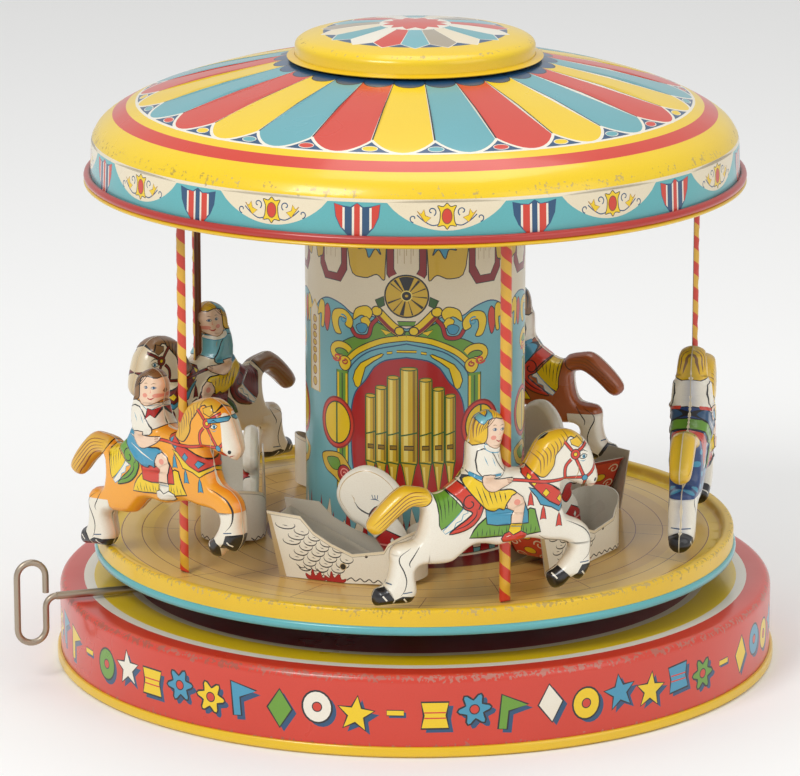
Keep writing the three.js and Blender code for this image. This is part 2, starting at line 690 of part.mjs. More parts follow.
/** Height of the canopy's inner face at a radius. */
function roofUnder(radius) {
  const line = ROOF_LINE.map(([run, drop]) => roofPoint(run, drop));
  for (let i = 1; i < line.length; i += 1) {
    if (radius <= line[i][0]) {
      const share = (radius - line[i - 1][0]) / (line[i][0] - line[i - 1][0]);
      return line[i - 1][1] + share * (line[i][1] - line[i - 1][1]) - SHEET * 1.2;
    }
  }
  return CANOPY_SHOULDER;
}

function makeCanopy() {
  const outer = ROOF_LINE.map(([run, drop]) => roofPoint(run, drop));
  const under = outer.map(([r, z]) => [r - 0.2, z - SHEET]).reverse();
  const hemTop = CANOPY_BOTTOM + 4.4;
  const canopy = turned([
    [SPINDLE_RADIUS + RUN, CANOPY_CROWN],
    ...outer,
    [CANOPY_RADIUS - 1, CANOPY_SHOULDER],
    [CANOPY_RADIUS, hemTop],
    [CANOPY_RADIUS + CANOPY_BEAD, hemTop - 1.6],
    [CANOPY_RADIUS + CANOPY_BEAD, CANOPY_BOTTOM + 0.9],
    [CANOPY_RADIUS + CANOPY_BEAD - 0.9, CANOPY_BOTTOM],
    [CANOPY_RADIUS - 0.2, CANOPY_BOTTOM + 0.8],
    [CANOPY_RADIUS - SHEET, hemTop],
    [CANOPY_RADIUS - 1 - SHEET, CANOPY_SHOULDER],
    ...under,
    [SPINDLE_RADIUS + RUN, CANOPY_CROWN - SHEET],
  ], RING_SIDES);
  addMesh(toy, 'canopy', canopy, paint.turquoise);

  const foot = CANOPY_CROWN + 1;
  const wallTop = foot + CAP_WALL;
  const inner = CAP_RADIUS - SHEET;
  const cap = turned([
    [0, wallTop + CAP_RISE],
    [CAP_RADIUS * 0.5, wallTop + CAP_RISE * 0.8],
    [CAP_RADIUS * 0.85, wallTop + CAP_RISE * 0.35],
    [CAP_RADIUS - 1.2, wallTop],
    [CAP_RADIUS, wallTop - 1.6],
    [CAP_RADIUS, foot],
    [inner, foot],
    [inner, wallTop - 1.6],
    [CAP_RADIUS * 0.85, wallTop + CAP_RISE * 0.35 - SHEET * 1.3],
    [CAP_RADIUS * 0.5, wallTop + CAP_RISE * 0.8 - SHEET],
    [0, wallTop + CAP_RISE - SHEET],
  ], 30);
  addMesh(toy, 'top_cap', cap, paint.yellow);
}

// ---------- Poles ----------
function makePole(frame, name) {
  const arc = 6;
  const outline = [];
  for (let i = 0; i <= arc; i += 1) {
    const angle = Math.PI + (Math.PI * i) / arc;
    outline.push(point((POLE_WIDTH / 2) * Math.cos(angle), (POLE_WIDTH / 2) * Math.sin(angle)));
  }
  for (let i = arc; i >= 0; i -= 1) {
    const angle = Math.PI + (Math.PI * i) / arc;
    const radius = POLE_WIDTH / 2 - SHEET * 0.75;
    outline.push(point(radius * Math.cos(angle), radius * Math.sin(angle)));
  }
  const foot = FLOOR_HEIGHT + GAP;
  const top = roofUnder(POLE_CIRCLE + POLE_WIDTH) - GAP;
  const pole = plate(outline, foot, top - foot);
  pole.translate(0, -(POLE_CIRCLE - POLE_WIDTH / 4), 0);
  addMesh(frame, name, pole, paint.stripe);
}

// ---------- Horses with riders ----------
// Side outline in [travel, height above the turntable floor].
const HORSE_OUTLINE = [
  [-29.4, 44.2], [-39.3, 45.4], [-46.2, 39.8], [-51.3, 33.4], [-49.6, 29.6], [-46.2, 29.5],
  [-35.8, 38], [-31.4, 36.8], [-34.3, 26.1], [-41.5, 24.4], [-43.7, 13], [-49, 8],
  [-48.3, 5], [-36, 3.6], [-33.6, 12], [-31.4, 17.1], [-20.8, 17.3], [-13.2, 22.8], [14, 22.1],
  [22.5, 19.8], [20, 13.1], [15, 9.4], [17, 4.6], [23.7, 7], [29, 8.2], [31.2, 13], [30.6, 25],
  [22.3, 30.4], [19.8, 38], [20.1, 43.9], [31, 40], [33.7, 43.1], [30.3, 55.4], [25.5, 60.2],
  [17, 61.6], [11.8, 58.7], [6.6, 49.7], [0, 49.7], [-3, 57], [-0.9, 65.1], [-6.4, 70.8],
  [-12.5, 68], [-15, 51.4], [-18.6, 46.2],
].map(([x, y]) => point(x, y));

// Hollow of the body, neck and rider; the legs and the tail are pressed flat.
const HORSE_HOLLOW = [
  [-28.5, 40.5], [-30, 20.5], [-21.5, 20], [-13, 25.5], [14, 25], [26.5, 22.6], [26.5, 25.5],
  [19.5, 29], [16.8, 38], [18, 45.5], [30, 43.5], [26.5, 54], [22.5, 58.4], [14, 56.5], [9, 46.8],
  [-2.8, 46.8], [-5.8, 57], [-3.8, 64.6], [-7, 67.8], [-10.2, 66], [-12.3, 50], [-16.6, 43.6],
].map(([x, y]) => point(x, y));

/** One pressed half: hollow on the seam side, notched for a pole seen turned and tilted in degrees. */
function horseHalf(turn, tilt) {
  const full = embossed(HORSE_OUTLINE, HORSE_DEPTH, HORSE_BEVEL);
  const behindSeam = block([-80, -10, -HORSE_DEPTH - 5], [80, 100, GAP / 2]);
  const cavity = plate(HORSE_HOLLOW, -1, HORSE_DEPTH - HORSE_WALL + 1);
  const across = Math.abs(Math.sin(turn * RAD));
  const slot = (POLE_WIDTH / 2) * (1 + across / 2) + GAP;
  const notch = block([-slot, -20, -5], [slot, 100, POLE_WIDTH * (0.25 + across / 2) + GAP]);
  notch.rotateZ(-tilt * RAD);
  return cut(full, behindSeam, cavity, notch);
}

// [turn about the pole in degrees, nose-up tilt in degrees, finish]
const HORSES = [
  { turn: 0, tilt: 0, finish: 'white' },
  { turn: -9, tilt: 0, finish: 'darkBlue' },
  { turn: 0, tilt: 0, finish: 'bay' },
  { turn: -8, tilt: 0, finish: 'white' },
  { turn: 13, tilt: 6, finish: 'palomino' },
];
const HORSE_LIFT = 3.8; // extra height of a tilted horse, so that its hooves clear the rim

function makeHorse(frame, number) {
  const { turn, tilt, finish } = HORSES[number - 1];
  const outerHalf = horseHalf(turn, tilt);
  const mount = new THREE.Group();
  mount.position.set(0, -POLE_CIRCLE, FLOOR_HEIGHT + (tilt ? HORSE_LIFT : 0));
  mount.rotation.z = turn * RAD;
  frame.add(mount);
  const pitch = new THREE.Group();
  pitch.rotation.set(Math.PI / 2, 0, 0);
  mount.add(pitch);
  const lean = new THREE.Group();
  lean.rotation.z = tilt * RAD;
  pitch.add(lean);
  addMesh(lean, `horse_${number}_outer_half`, outerHalf, paint[finish]);
  addMesh(lean, `horse_${number}_inner_half`, mirrored(outerHalf), paint[finish]);
}

// ---------- Swan boats ----------
/** Plan of the boat's wall, counter-clockwise: [along travel, outwards from the middle line, height]. */
function boatStations() {
  const half = BOAT_REAR_WIDTH / 2;
  const stations = [];
  const side = (sign) => [
    [BOAT_REAR, sign * half, BOAT_REAR_HEIGHT],
    [BOAT_REAR + 8, sign * (half + 0.7), BOAT_REAR_HEIGHT - 0.8],
    [BOAT_REAR + 13, sign * (half + 1.1), BOAT_REAR_HEIGHT - 6],
    [BOAT_REAR + 20, sign * (half + 1.6), BOAT_LOW_HEIGHT + 3.2],
    [BOAT_REAR + 28, sign * (BOAT_FRONT_RADIUS - 0.2), BOAT_LOW_HEIGHT],
  ];
  stations.push(...side(1));
  const arc = 8;
  for (let i = 0; i <= arc; i += 1) {
    const angle = Math.PI / 2 - (Math.PI * i) / arc;
    const middle = Math.cos(angle);
    stations.push([
      BOAT_FRONT_CENTRE + BOAT_FRONT_RADIUS * middle,
      BOAT_FRONT_RADIUS * Math.sin(angle),
      BOAT_LOW_HEIGHT + 2.4 + (BOAT_PROW_HEIGHT - BOAT_LOW_HEIGHT - 2.4) * Math.sqrt(Math.max(middle, 0)),
    ]);
  }
  stations.push(...side(-1).reverse());
  return stations;
}

function boatHull() {
  const stations = boatStations();
  const outline = stations.map(([x, y]) => point(x, y));
  const inside = inset(outline, SHEET);
  const foot = GAP;
  const vertices = [];
  stations.forEach(([x, y, height], i) => {
    const lean = x < BOAT_REAR + 1 ? -BOAT_LEAN : 0;
    vertices.push(x, y, foot);
    vertices.push(x + lean, y, height);
    vertices.push(inside[i].x + lean, inside[i].y, height);
    vertices.push(inside[i].x, inside[i].y, foot);
  });
  const faces = [];
  const count = stations.length;
  for (let i = 0; i < count; i += 1) {
    const j = (i + 1) % count;
    for (let k = 0; k < 4; k += 1) {
      const m = (k + 1) % 4;
      faces.push(4 * i + k, 4 * j + k, 4 * j + m, 4 * i + k, 4 * j + m, 4 * i + m);
    }
  }
  const geometry = new THREE.BufferGeometry();
  geometry.setAttribute('position', new THREE.Float32BufferAttribute(vertices, 3));
  geometry.setIndex(faces);
  geometry.scale(1, -1, 1);
  return solidFacingOut(geometry);
}

/** Bent strip inside the hull: leaning back rest and seat. */
function boatTub() {
  const half = BOAT_REAR_WIDTH / 2 - SHEET - GAP;
  const back = BOAT_REAR + SHEET + GAP * 2;
  const lean = BOAT_LEAN / BOAT_REAR_HEIGHT;
  const seat = BOAT_FRONT_CENTRE - 4;
  const line = [
    point(back - lean * (BOAT_REAR_HEIGHT - 3), BOAT_REAR_HEIGHT - 3),
    point(back + 1.6, 9),
    point(back + 5, 4.4),
    point(back + 11, 2.6),
    point(seat, 2.2),
  ];
  const lower = line.map((p, i) => point(p.x - (i < 3 ? 0.5 : 0), p.y - (i < 1 ? 0 : 0.8)));
  const shape = new THREE.Shape([...line, ...lower.reverse()]);
  const geometry = new THREE.ExtrudeGeometry(shape, { depth: half * 2, bevelEnabled: false });
  geometry.translate(0, 0, -half);
  geometry.rotateX(Math.PI / 2);
  return geometry;
}

// Swan's neck and head in [travel, height above the turntable floor].
const NECK_OUTLINE = [
  [17.5, 1.2], [10.8, 1.2], [7.6, 9], [1.6, 15.6], [-4.8, 19], [-9.4, 25.5], [-9.4, 31], [-6, 36],
  [0.5, 39.3], [7, 38], [12, 34.4], [15, 30], [14.4, 26], [11, 22.8], [14.5, 18.5], [17.5, 12],
].map(([x, y]) => point(x, y));

function boatNeck() {
  const geometry = embossed(NECK_OUTLINE, NECK_THICKNESS / 2, 1.4);
  geometry.rotateX(Math.PI / 2);
  return mergeVertices(geometry);
}

function makeBoat(frame, number, hull, tub, neck) {
  const place = new THREE.Group();
  place.position.set(0, -BOAT_CENTRE, FLOOR_HEIGHT);
  frame.add(place);
  addMesh(place, `boat_${number}_hull`, hull.clone(), paint.cream);
  addMesh(place, `boat_${number}_tub`, tub.clone(), paint.grey);
  const plane = addMesh(place, `boat_${number}_swan_neck`, neck.clone(), paint.cream);
  plane.position.y = -NECK_OFFSET;
}

// ---------- Assembly ----------
makeBase();
makeMotorFrame();
makeKeyBearing();
makeKey();
makeSpringArbor();
makeMainspring();
makeGreatWheel();
makeSpeedTrain();
makeHub();
makeTurntable();
makeColumn();
makeCanopy();

const hull = boatHull();
const tub = boatTub();
const neck = boatNeck();
const spacing = 360 / RIDE_COUNT;
for (let i = 0; i < RIDE_COUNT; i += 1) {
  const poleFrame = station(FIRST_POLE_ANGLE + spacing * i);
  toy.add(poleFrame);
  makePole(poleFrame, `pole_${i + 1}`);
  makeHorse(poleFrame, i + 1);
  const boatFrame = station(FIRST_POLE_ANGLE + spacing * (i + 0.5));
  toy.add(boatFrame);
  makeBoat(boatFrame, i + 1, hull, tub, neck);
}

export default toy;
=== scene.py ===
"""Looks of the wind-up tin carousel.

Every printed part is made the way the maker made it: a flat sheet of tinplate is printed, cut
along the borders of its colours, then pressed, rolled or turned into its shape. Sizes are in
millimetres until a mesh is written, +Z is up and the front of the toy faces -Y.
"""

from __future__ import annotations

import logging
import math
from collections.abc import Callable, Sequence
from dataclasses import dataclass, field
from enum import Enum

import bmesh
import bpy
import numpy as np
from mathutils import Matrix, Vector
from mathutils.geometry import delaunay_2d_cdt

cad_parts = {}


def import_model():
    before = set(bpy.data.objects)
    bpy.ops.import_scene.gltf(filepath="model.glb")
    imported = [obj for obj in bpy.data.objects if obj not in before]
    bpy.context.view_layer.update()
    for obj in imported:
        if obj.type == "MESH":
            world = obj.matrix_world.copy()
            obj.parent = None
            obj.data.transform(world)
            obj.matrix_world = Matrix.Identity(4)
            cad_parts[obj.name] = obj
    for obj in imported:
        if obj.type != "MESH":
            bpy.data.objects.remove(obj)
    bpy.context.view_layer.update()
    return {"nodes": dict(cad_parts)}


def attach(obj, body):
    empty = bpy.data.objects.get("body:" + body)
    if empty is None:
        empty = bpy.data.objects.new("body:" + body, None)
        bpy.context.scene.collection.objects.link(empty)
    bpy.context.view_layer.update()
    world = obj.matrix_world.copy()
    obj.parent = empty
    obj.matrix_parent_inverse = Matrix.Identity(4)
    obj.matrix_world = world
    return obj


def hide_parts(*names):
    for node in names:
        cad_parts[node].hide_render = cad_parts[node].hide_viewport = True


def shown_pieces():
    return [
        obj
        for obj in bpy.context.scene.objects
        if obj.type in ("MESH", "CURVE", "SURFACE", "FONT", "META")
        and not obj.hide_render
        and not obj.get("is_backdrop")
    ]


MM = 0.001
TAU = 2 * math.pi
LOG = logging.getLogger("carousel")
RIDES = 5  # horses, and boats between them
RIDE_STEP = 72  # degrees from one ride to the next
FIRST_HORSE = 18  # degrees
FIRST_BOAT = 54
FLOOR_HEIGHT = 46.0  # turntable's floor
PRECISION = 1e-4  # millimetres within which points are one
TINY = 1e-12  # keeps a division safe

Point = tuple[float, float]
Shape = Callable[[np.ndarray], np.ndarray]
Tint = Callable[[np.ndarray, np.ndarray], np.ndarray]


class Ink(Enum):
    """Printing inks of the tin sheets, as screen values of red, green and blue."""

    CORAL = (210, 58, 36)
    BEAD_RED = (178, 38, 26)
    ORGAN_RED = (176, 24, 26)
    DARK_RED = (112, 20, 18)
    WINE = (140, 24, 24)
    PINK = (240, 150, 140)
    YELLOW = (240, 204, 8)
    RIM_YELLOW = (233, 192, 22)
    HAIR = (232, 188, 36)
    GOLD = (216, 178, 42)
    GOLD_LIGHT = (240, 222, 120)
    GOLD_DARK = (150, 118, 26)
    FLOOR = (222, 184, 104)
    FLOOR_LIGHT = (234, 198, 104)
    FLOOR_LINE = (140, 78, 38)
    CREAM = (234, 222, 194)
    WHITE = (238, 233, 218)
    FLESH = (240, 208, 180)
    BLUSH = (232, 150, 130)
    TAN = (196, 170, 124)
    SKY = (112, 178, 190)
    TURQUOISE = (92, 176, 182)
    SEGMENT_BLUE = (98, 168, 178)
    DARK_BLUE = (30, 76, 116)
    BLUE = (64, 150, 184)
    GREEN = (104, 156, 44)
    DARK_GREEN = (50, 96, 40)
    PALOMINO = (244, 166, 40)
    BAY = (172, 88, 36)
    NIGHT = (34, 66, 120)
    GREY = (168, 158, 140)
    TIN = (204, 198, 182)
    OCHRE = (226, 176, 52)
    BROWN = (138, 100, 60)
    BARE = (120, 112, 100)
    BLACK = (22, 20, 24)

    def linear(self) -> np.ndarray:
        """Returns the ink as linear light, the way the shader wants it."""
        srgb = np.array(self.value) / 255
        return np.where(srgb <= 0.04045, srgb / 12.92, ((srgb + 0.055) / 1.055) ** 2.4)


# ---------- Curves drawn on a flat sheet ----------
def path(text: str) -> list[Point]:
    """Reads points, written as x,y pairs."""
    return [tuple(map(float, pair.split(","))) for pair in text.split()]


def smooth(points: Sequence[Point], steps: int = 4, closed: bool = True) -> list[Point]:
    """Runs a smooth curve through given points.

    Args:
        points: Corners of the curve.
        steps: Pieces made of each span.
        closed: True if the last point joins the first.

    Returns:
        The points of the curve.
    """
    p = np.array(points, float)
    last = len(p) - 1
    curve = []
    for i in range(len(p) if closed else last):
        if closed:
            a, b, c, d = (p[(i + k) % len(p)] for k in (-1, 0, 1, 2))
        else:
            a, b, c, d = (p[min(max(i + k, 0), last)] for k in (-1, 0, 1, 2))
        for k in range(steps):
            t = k / steps
            bend = (2 * a - 5 * b + 4 * c - d) * t * t + (3 * b - a - 3 * c + d) * t**3
            curve.append(tuple(0.5 * (2 * b + (c - a) * t + bend)))
    if not closed:
        curve.append(tuple(p[-1]))
    return curve


def curve(points: Sequence[Point], steps: int = 4) -> list[Point]:
    """Runs a smooth open curve through given points."""
    return smooth(points, steps, closed=False)


def mirrored(points: Sequence[Point]) -> list[Point]:
    """Returns a line's mirror image, run backwards."""
    return [(-a, b) for a, b in reversed(points)]


def box(x0: float, y0: float, x1: float, y1: float) -> list[Point]:
    """Returns the four corners of an upright rectangle."""
    return [(x0, y0), (x1, y0), (x1, y1), (x0, y1)]


def diamond(across: float, up: float) -> list[Point]:
    """Returns a diamond round nothing, from half its width and half its height."""
    return [(0, up), (across, 0), (0, -up), (-across, 0)]


def distances(line: np.ndarray) -> np.ndarray:
    """Returns how far along a line each of its points is."""
    return np.concatenate([[0], np.cumsum(np.linalg.norm(np.diff(line, axis=0), axis=1))])


def ridge(flat: np.ndarray, middle: float, width: float) -> np.ndarray:
    """Returns a rub mark across the sheet, strongest at one height."""
    return np.exp(-(((flat[:, 1] - middle) / width) ** 2))


def stroke(points: Sequence[Point], width: float, closed: bool = False, taper: bool = False) -> list[Point]:
    """Gives a line its width, as a loop that runs up one side and down the other.

    Args:
        points: Middle of the line.
        width: Full width of the line.
        closed: True for a line round a loop.
        taper: True if the line runs out to a point at both ends.

    Returns:
        The loop round the line.
    """
    p = np.array(points, float)
    if len(p) == 2:
        p = np.array([p[0], p.mean(0), p[1]])
    if closed:
        along = np.roll(p, -1, 0) - np.roll(p, 1, 0)
    else:
        along = np.gradient(p, axis=0)
    along /= np.linalg.norm(along, axis=1, keepdims=True) + 1e-9
    across = np.stack([-along[:, 1], along[:, 0]], 1)
    half = np.full((len(p), 1), width / 2)
    if taper:
        half *= np.sin(np.linspace(0.12, math.pi - 0.12, len(p)))[:, None]
    left, right = p + across * half, p - across * half
    if closed:
        left, right = np.vstack([left, left[:1]]), np.vstack([right, right[:1]])
    return [tuple(q) for q in np.vstack([left, right[::-1]])]


def ellipse(x: float, y: float, rx: float, ry: float, turn: float = 0, sides: int = 20) -> list[Point]:
    """Returns an ellipse round (x, y) with its first axis turned by degrees."""
    c, s = math.cos(math.radians(turn)), math.sin(math.radians(turn))
    loop = []
    for i in range(sides):
        a, b = rx * math.cos(TAU * i / sides), ry * math.sin(TAU * i / sides)
        loop.append((x + a * c - b * s, y + a * s + b * c))
    return loop


def spiral(x: float, y: float, start: float, end: float, angle: float, turns: float) -> list[Point]:
    """Returns a scroll round (x, y) from one radius to another, from an angle in degrees."""
    count = max(int(abs(turns) * 18), 4)
    curve = []
    for i in range(count + 1):
        t = i / count
        a = math.radians(angle) + TAU * turns * t
        r = start + (end - start) * t
        curve.append((x + r * math.cos(a), y + r * math.sin(a)))
    return curve


def moved(loop: Sequence[Point], x: float, y: float, size: float = 1, turn: float = 0,
          flip: bool = False) -> list[Point]:
    """Returns a loop made larger, mirrored, turned in degrees and moved, in that order."""
    c, s = math.cos(math.radians(turn)) * size, math.sin(math.radians(turn)) * size
    side = -1 if flip else 1
    return [(x + side * a * c - b * s, y + side * a * s + b * c) for a, b in loop]


def covered(points: np.ndarray, loop: np.ndarray) -> np.ndarray:
    """Tells which points lie inside a loop.

    Args:
        points: Points as rows.
        loop: Corners of the loop as rows; it may cross itself.

    Returns:
        True for each point that the loop winds round.
    """
    inside = np.zeros(len(points), bool)
    low, high = loop.min(0), loop.max(0)
    near = np.nonzero(((points >= low) & (points <= high)).all(1))[0]
    if not len(near):
        return inside
    x, y = points[near, 0:1], points[near, 1:2]
    a, b = loop, np.roll(loop, -1, 0)
    side = (b[:, 0] - a[:, 0]) * (y - a[:, 1]) - (x - a[:, 0]) * (b[:, 1] - a[:, 1])
    up = (a[:, 1] <= y) & (b[:, 1] > y) & (side > 0)
    down = (a[:, 1] > y) & (b[:, 1] <= y) & (side < 0)
    inside[near] = up.sum(1) != down.sum(1)
    return inside


@dataclass
class Print:
    """A flat sheet of tinplate and what is printed on it, later areas over earlier ones."""

    outline: Sequence[Point]
    ground: Ink
    holes: list[Sequence[Point]] = field(default_factory=list)
    layers: list[tuple[np.ndarray, Ink]] = field(default_factory=list)

    def area(self, loop: Sequence[Point], ink: Ink) -> None:
        """Prints a filled area."""
        self.layers.append((np.array(loop, float), ink))

    def line(self, points: Sequence[Point], ink: Ink, width: float = 0.4, taper: bool = False) -> None:
        """Prints an open line."""
        self.area(stroke(points, width, taper=taper), ink)

    def edged(self, loop: Sequence[Point], ink: Ink, line: Ink = Ink.BLACK, width: float = 0.35) -> None:
        """Prints a filled area with a line round it."""
        self.area(loop, ink)
        self.area(stroke(loop, width, closed=True), line)

    def cut(self, inner: np.ndarray) -> tuple[np.ndarray, np.ndarray, np.ndarray]:
        """Cuts the sheet along every colour's border.

        Args:
            inner: Extra points that let the sheet bend.

        Returns:
            Points, triangles and the linear colour of each triangle.
        """
        outline = np.array(self.outline, float)
        loops = [outline, *[np.array(h, float) for h in self.holes], *[loop for loop, _ in self.layers]]
        verts, edges = [], []
        for loop in loops:
            start, count = len(verts), len(loop)
            verts.extend(map(tuple, loop))
            edges.extend((start + i, start + (i + 1) % count) for i in range(count))
        verts.extend(map(tuple, inner[covered(inner, outline)]))
        made = delaunay_2d_cdt([Vector(v) for v in verts], edges, [], 0, PRECISION)
        points = np.array([tuple(v) for v in made[0]])
        faces = np.array([f for f in made[2] if len(f) == 3])
        middles = points[faces].mean(1)
        keep = covered(middles, outline)
        for hole in self.holes:
            keep &= ~covered(middles, np.array(hole, float))
        faces, middles = faces[keep], middles[keep]
        colours = np.tile(self.ground.linear(), (len(faces), 1))
        for loop, ink in self.layers:
            colours[covered(middles, loop)] = ink.linear()
        return points, faces, colours


def lattice(u: np.ndarray, v: np.ndarray) -> np.ndarray:
    """Returns the crossings of a grid as rows."""
    a, b = np.meshgrid(u, v)
    return np.stack([a.ravel(), b.ravel()], 1)


def scattered(outline: Sequence[Point], step: float, rings: Sequence[float] = ()) -> np.ndarray:
    """Spreads points inside an outline, with more of them along its edge.

    Args:
        outline: Loop that holds the points.
        step: Spacing of the points.
        rings: Distances inside the edge that get a row of their own.

    Returns:
        The points as rows.
    """
    loop = np.array(outline, float)
    low, high = loop.min(0), loop.max(0)
    rows = lattice(np.arange(low[0], high[0], step), np.arange(low[1], high[1], step * 0.9))
    rows[:, 0] += (np.round((rows[:, 1] - low[1]) / (step * 0.9)) % 2) * step / 2
    parts = [rows[covered(rows, loop)]]
    along = np.roll(loop, -1, 0) - loop
    length = np.linalg.norm(along, axis=1)
    for distance in rings:
        for i in range(len(loop)):
            count = max(int(length[i] / (step * 0.8)), 1)
            t = (np.arange(count)[:, None] + 0.5) / count
            inward = np.array([-along[i, 1], along[i, 0]]) / (length[i] + 1e-9)
            parts.append(loop[i] + along[i] * t + inward * distance)
    return np.vstack(parts)


# ---------- From sheet to shape ----------
def linked(name: str, data: bpy.types.ID) -> bpy.types.Object:
    """Returns a new object in the scene that shows a mesh, a light or a camera."""
    made = bpy.data.objects.new(name, data)
    bpy.context.scene.collection.objects.link(made)
    return made


@dataclass(frozen=True)
class Finish:
    """Lacquered print on tinplate: colour from the sheet, then lacquer, dirt, rubs and dents."""

    name: str
    roughness: float = 0.3
    coat: float = 0.5
    grime: float = 0.2
    rubs: float = 0.5

    def material(self) -> bpy.types.Material:
        """Returns the finish's material, which reads the sheet's colours and the rub marks."""
        return Graph.once(self.name, self._wire)

    def _wire(self, graph: Graph) -> None:
        """Wires the lacquered print."""
        ink = graph.node("ShaderNodeVertexColor", layer_name="Ink").outputs["Color"]
        rub = graph.node("ShaderNodeAttribute", attribute_name="Rub").outputs["Fac"]
        place = graph.node("ShaderNodeTexCoord").outputs["Object"]
        cloud = graph.noise(place, 22, 3)
        speck = graph.noise(place, 900, 2)
        dots = graph.noise(place, 3200, 1)
        streak = graph.noise(graph.stretched(place, (1, 1, 0.1)), 420, 2)
        aged = graph.mix("MULTIPLY", graph.ramp(cloud, 0.35, 0.75, 0, self.grime), ink, (0.80, 0.66, 0.42))
        grained = graph.mix("MULTIPLY", graph.ramp(dots, 0.45, 0.7, 0, 0.16), aged, (0.72, 0.62, 0.5))
        mark = graph.math("ADD", graph.math("MULTIPLY", speck, 0.55), graph.math("MULTIPLY", streak, 0.45))
        edge = graph.math("ADD", mark, graph.math("MULTIPLY", rub, 0.34))
        worn = graph.ramp(edge, 0.80, 0.84, 0, self.rubs)
        metal = graph.mix("MIX", graph.ramp(cloud, 0.4, 0.6, 0, 1), (0.16, 0.10, 0.06), (0.34, 0.29, 0.23))
        colour = graph.mix("MIX", worn, grained, metal)
        gloss = graph.math("ADD", graph.ramp(cloud, 0.3, 0.8, self.roughness - 0.05, self.roughness + 0.12),
                           graph.math("MULTIPLY", worn, 0.3))
        waves = graph.math("ADD", graph.math("MULTIPLY", cloud, 1.0), graph.math("MULTIPLY", dots, 0.03))
        relief = graph.math("SUBTRACT", waves, graph.math("MULTIPLY", worn, 0.06))
        graph.shade(colour, gloss, graph.bump(relief, 0.25, 0.0006), 0.0, self.coat)


@dataclass
class Graph:
    """Small helper that wires a material's nodes."""

    made: bpy.types.Material

    @classmethod
    def once(cls, name: str, wire: Callable[[Graph], None]) -> bpy.types.Material:
        """Returns the material of a name, wired the first time it is asked for."""
        made = bpy.data.materials.get(name)
        if not made:
            made = bpy.data.materials.new(name)
            made.use_nodes = True
            wire(cls(made))
        return made

    def node(self, kind: str, **settings: object) -> bpy.types.ShaderNode:
        """Adds a node and sets its properties."""
        new = self.made.node_tree.nodes.new(kind)
        for key, value in settings.items():
            setattr(new, key, value)
        return new

    def put(self, socket: bpy.types.NodeSocket, value: object) -> None:
        """Links a socket, or gives it a number or a colour."""
        if isinstance(value, bpy.types.NodeSocket):
            self.made.node_tree.links.new(value, socket)
        elif isinstance(value, tuple) and socket.type == "RGBA":
            socket.default_value = (*value, 1)
        else:
            socket.default_value = value

    def noise(self, place: bpy.types.NodeSocket, scale: float, detail: float) -> bpy.types.NodeSocket:
        """Returns noise of a scale, in turns per metre."""
        new = self.node("ShaderNodeTexNoise")
        self.put(new.inputs["Vector"], place)
        new.inputs["Scale"].default_value = scale
        new.inputs["Detail"].default_value = detail
        return new.outputs["Fac"]

    def stretched(self, place: bpy.types.NodeSocket,
                  scale: tuple[float, float, float]) -> bpy.types.NodeSocket:
        """Returns coordinates scaled along each axis."""
        new = self.node("ShaderNodeMapping")
        self.put(new.inputs["Vector"], place)
        new.inputs["Scale"].default_value = scale
        return new.outputs["Vector"]

    def math(self, kind: str, a: object, b: object) -> bpy.types.NodeSocket:
        """Returns a sum, product or the like of two values."""
        new = self.node("ShaderNodeMath", operation=kind)
        self.put(new.inputs[0], a)
        self.put(new.inputs[1], b)
        return new.outputs[0]

    def ramp(self, value: object, start: float, end: float, low: float, high: float) -> bpy.types.NodeSocket:
        """Returns a value moved from one range to another, held at both ends."""
        new = self.node("ShaderNodeMapRange")
        for socket, number in zip(new.inputs, (value, start, end, low, high)):
            self.put(socket, number)
        return new.outputs[0]

    def mix(self, kind: str, share: object, a: object, b: object) -> bpy.types.NodeSocket:
        """Returns two colours mixed by a share."""
        new = self.node("ShaderNodeMix", data_type="RGBA", blend_type=kind)
        self.put(new.inputs[0], share)
        self.put(new.inputs[6], a)
        self.put(new.inputs[7], b)
        return new.outputs[2]

    def bump(self, height: object, strength: float, distance: float) -> bpy.types.NodeSocket:
        """Returns a normal bent by a height."""
        new = self.node("ShaderNodeBump")
        new.inputs["Strength"].default_value = strength
        new.inputs["Distance"].default_value = distance
        self.put(new.inputs["Height"], height)
        return new.outputs["Normal"]

    def shade(self, colour: object, gloss: object, normal: object, metallic: float, coat: float) -> None:
        """Joins everything to the surface shader."""
        surface = self.made.node_tree.nodes["Principled BSDF"]
        self.put(surface.inputs["Base Color"], colour)
        self.put(surface.inputs["Roughness"], gloss)
        self.put(surface.inputs["Normal"], normal)
        surface.inputs["Metallic"].default_value = metallic
        surface.inputs["Coat Weight"].default_value = coat
        surface.inputs["Coat Roughness"].default_value = 0.12


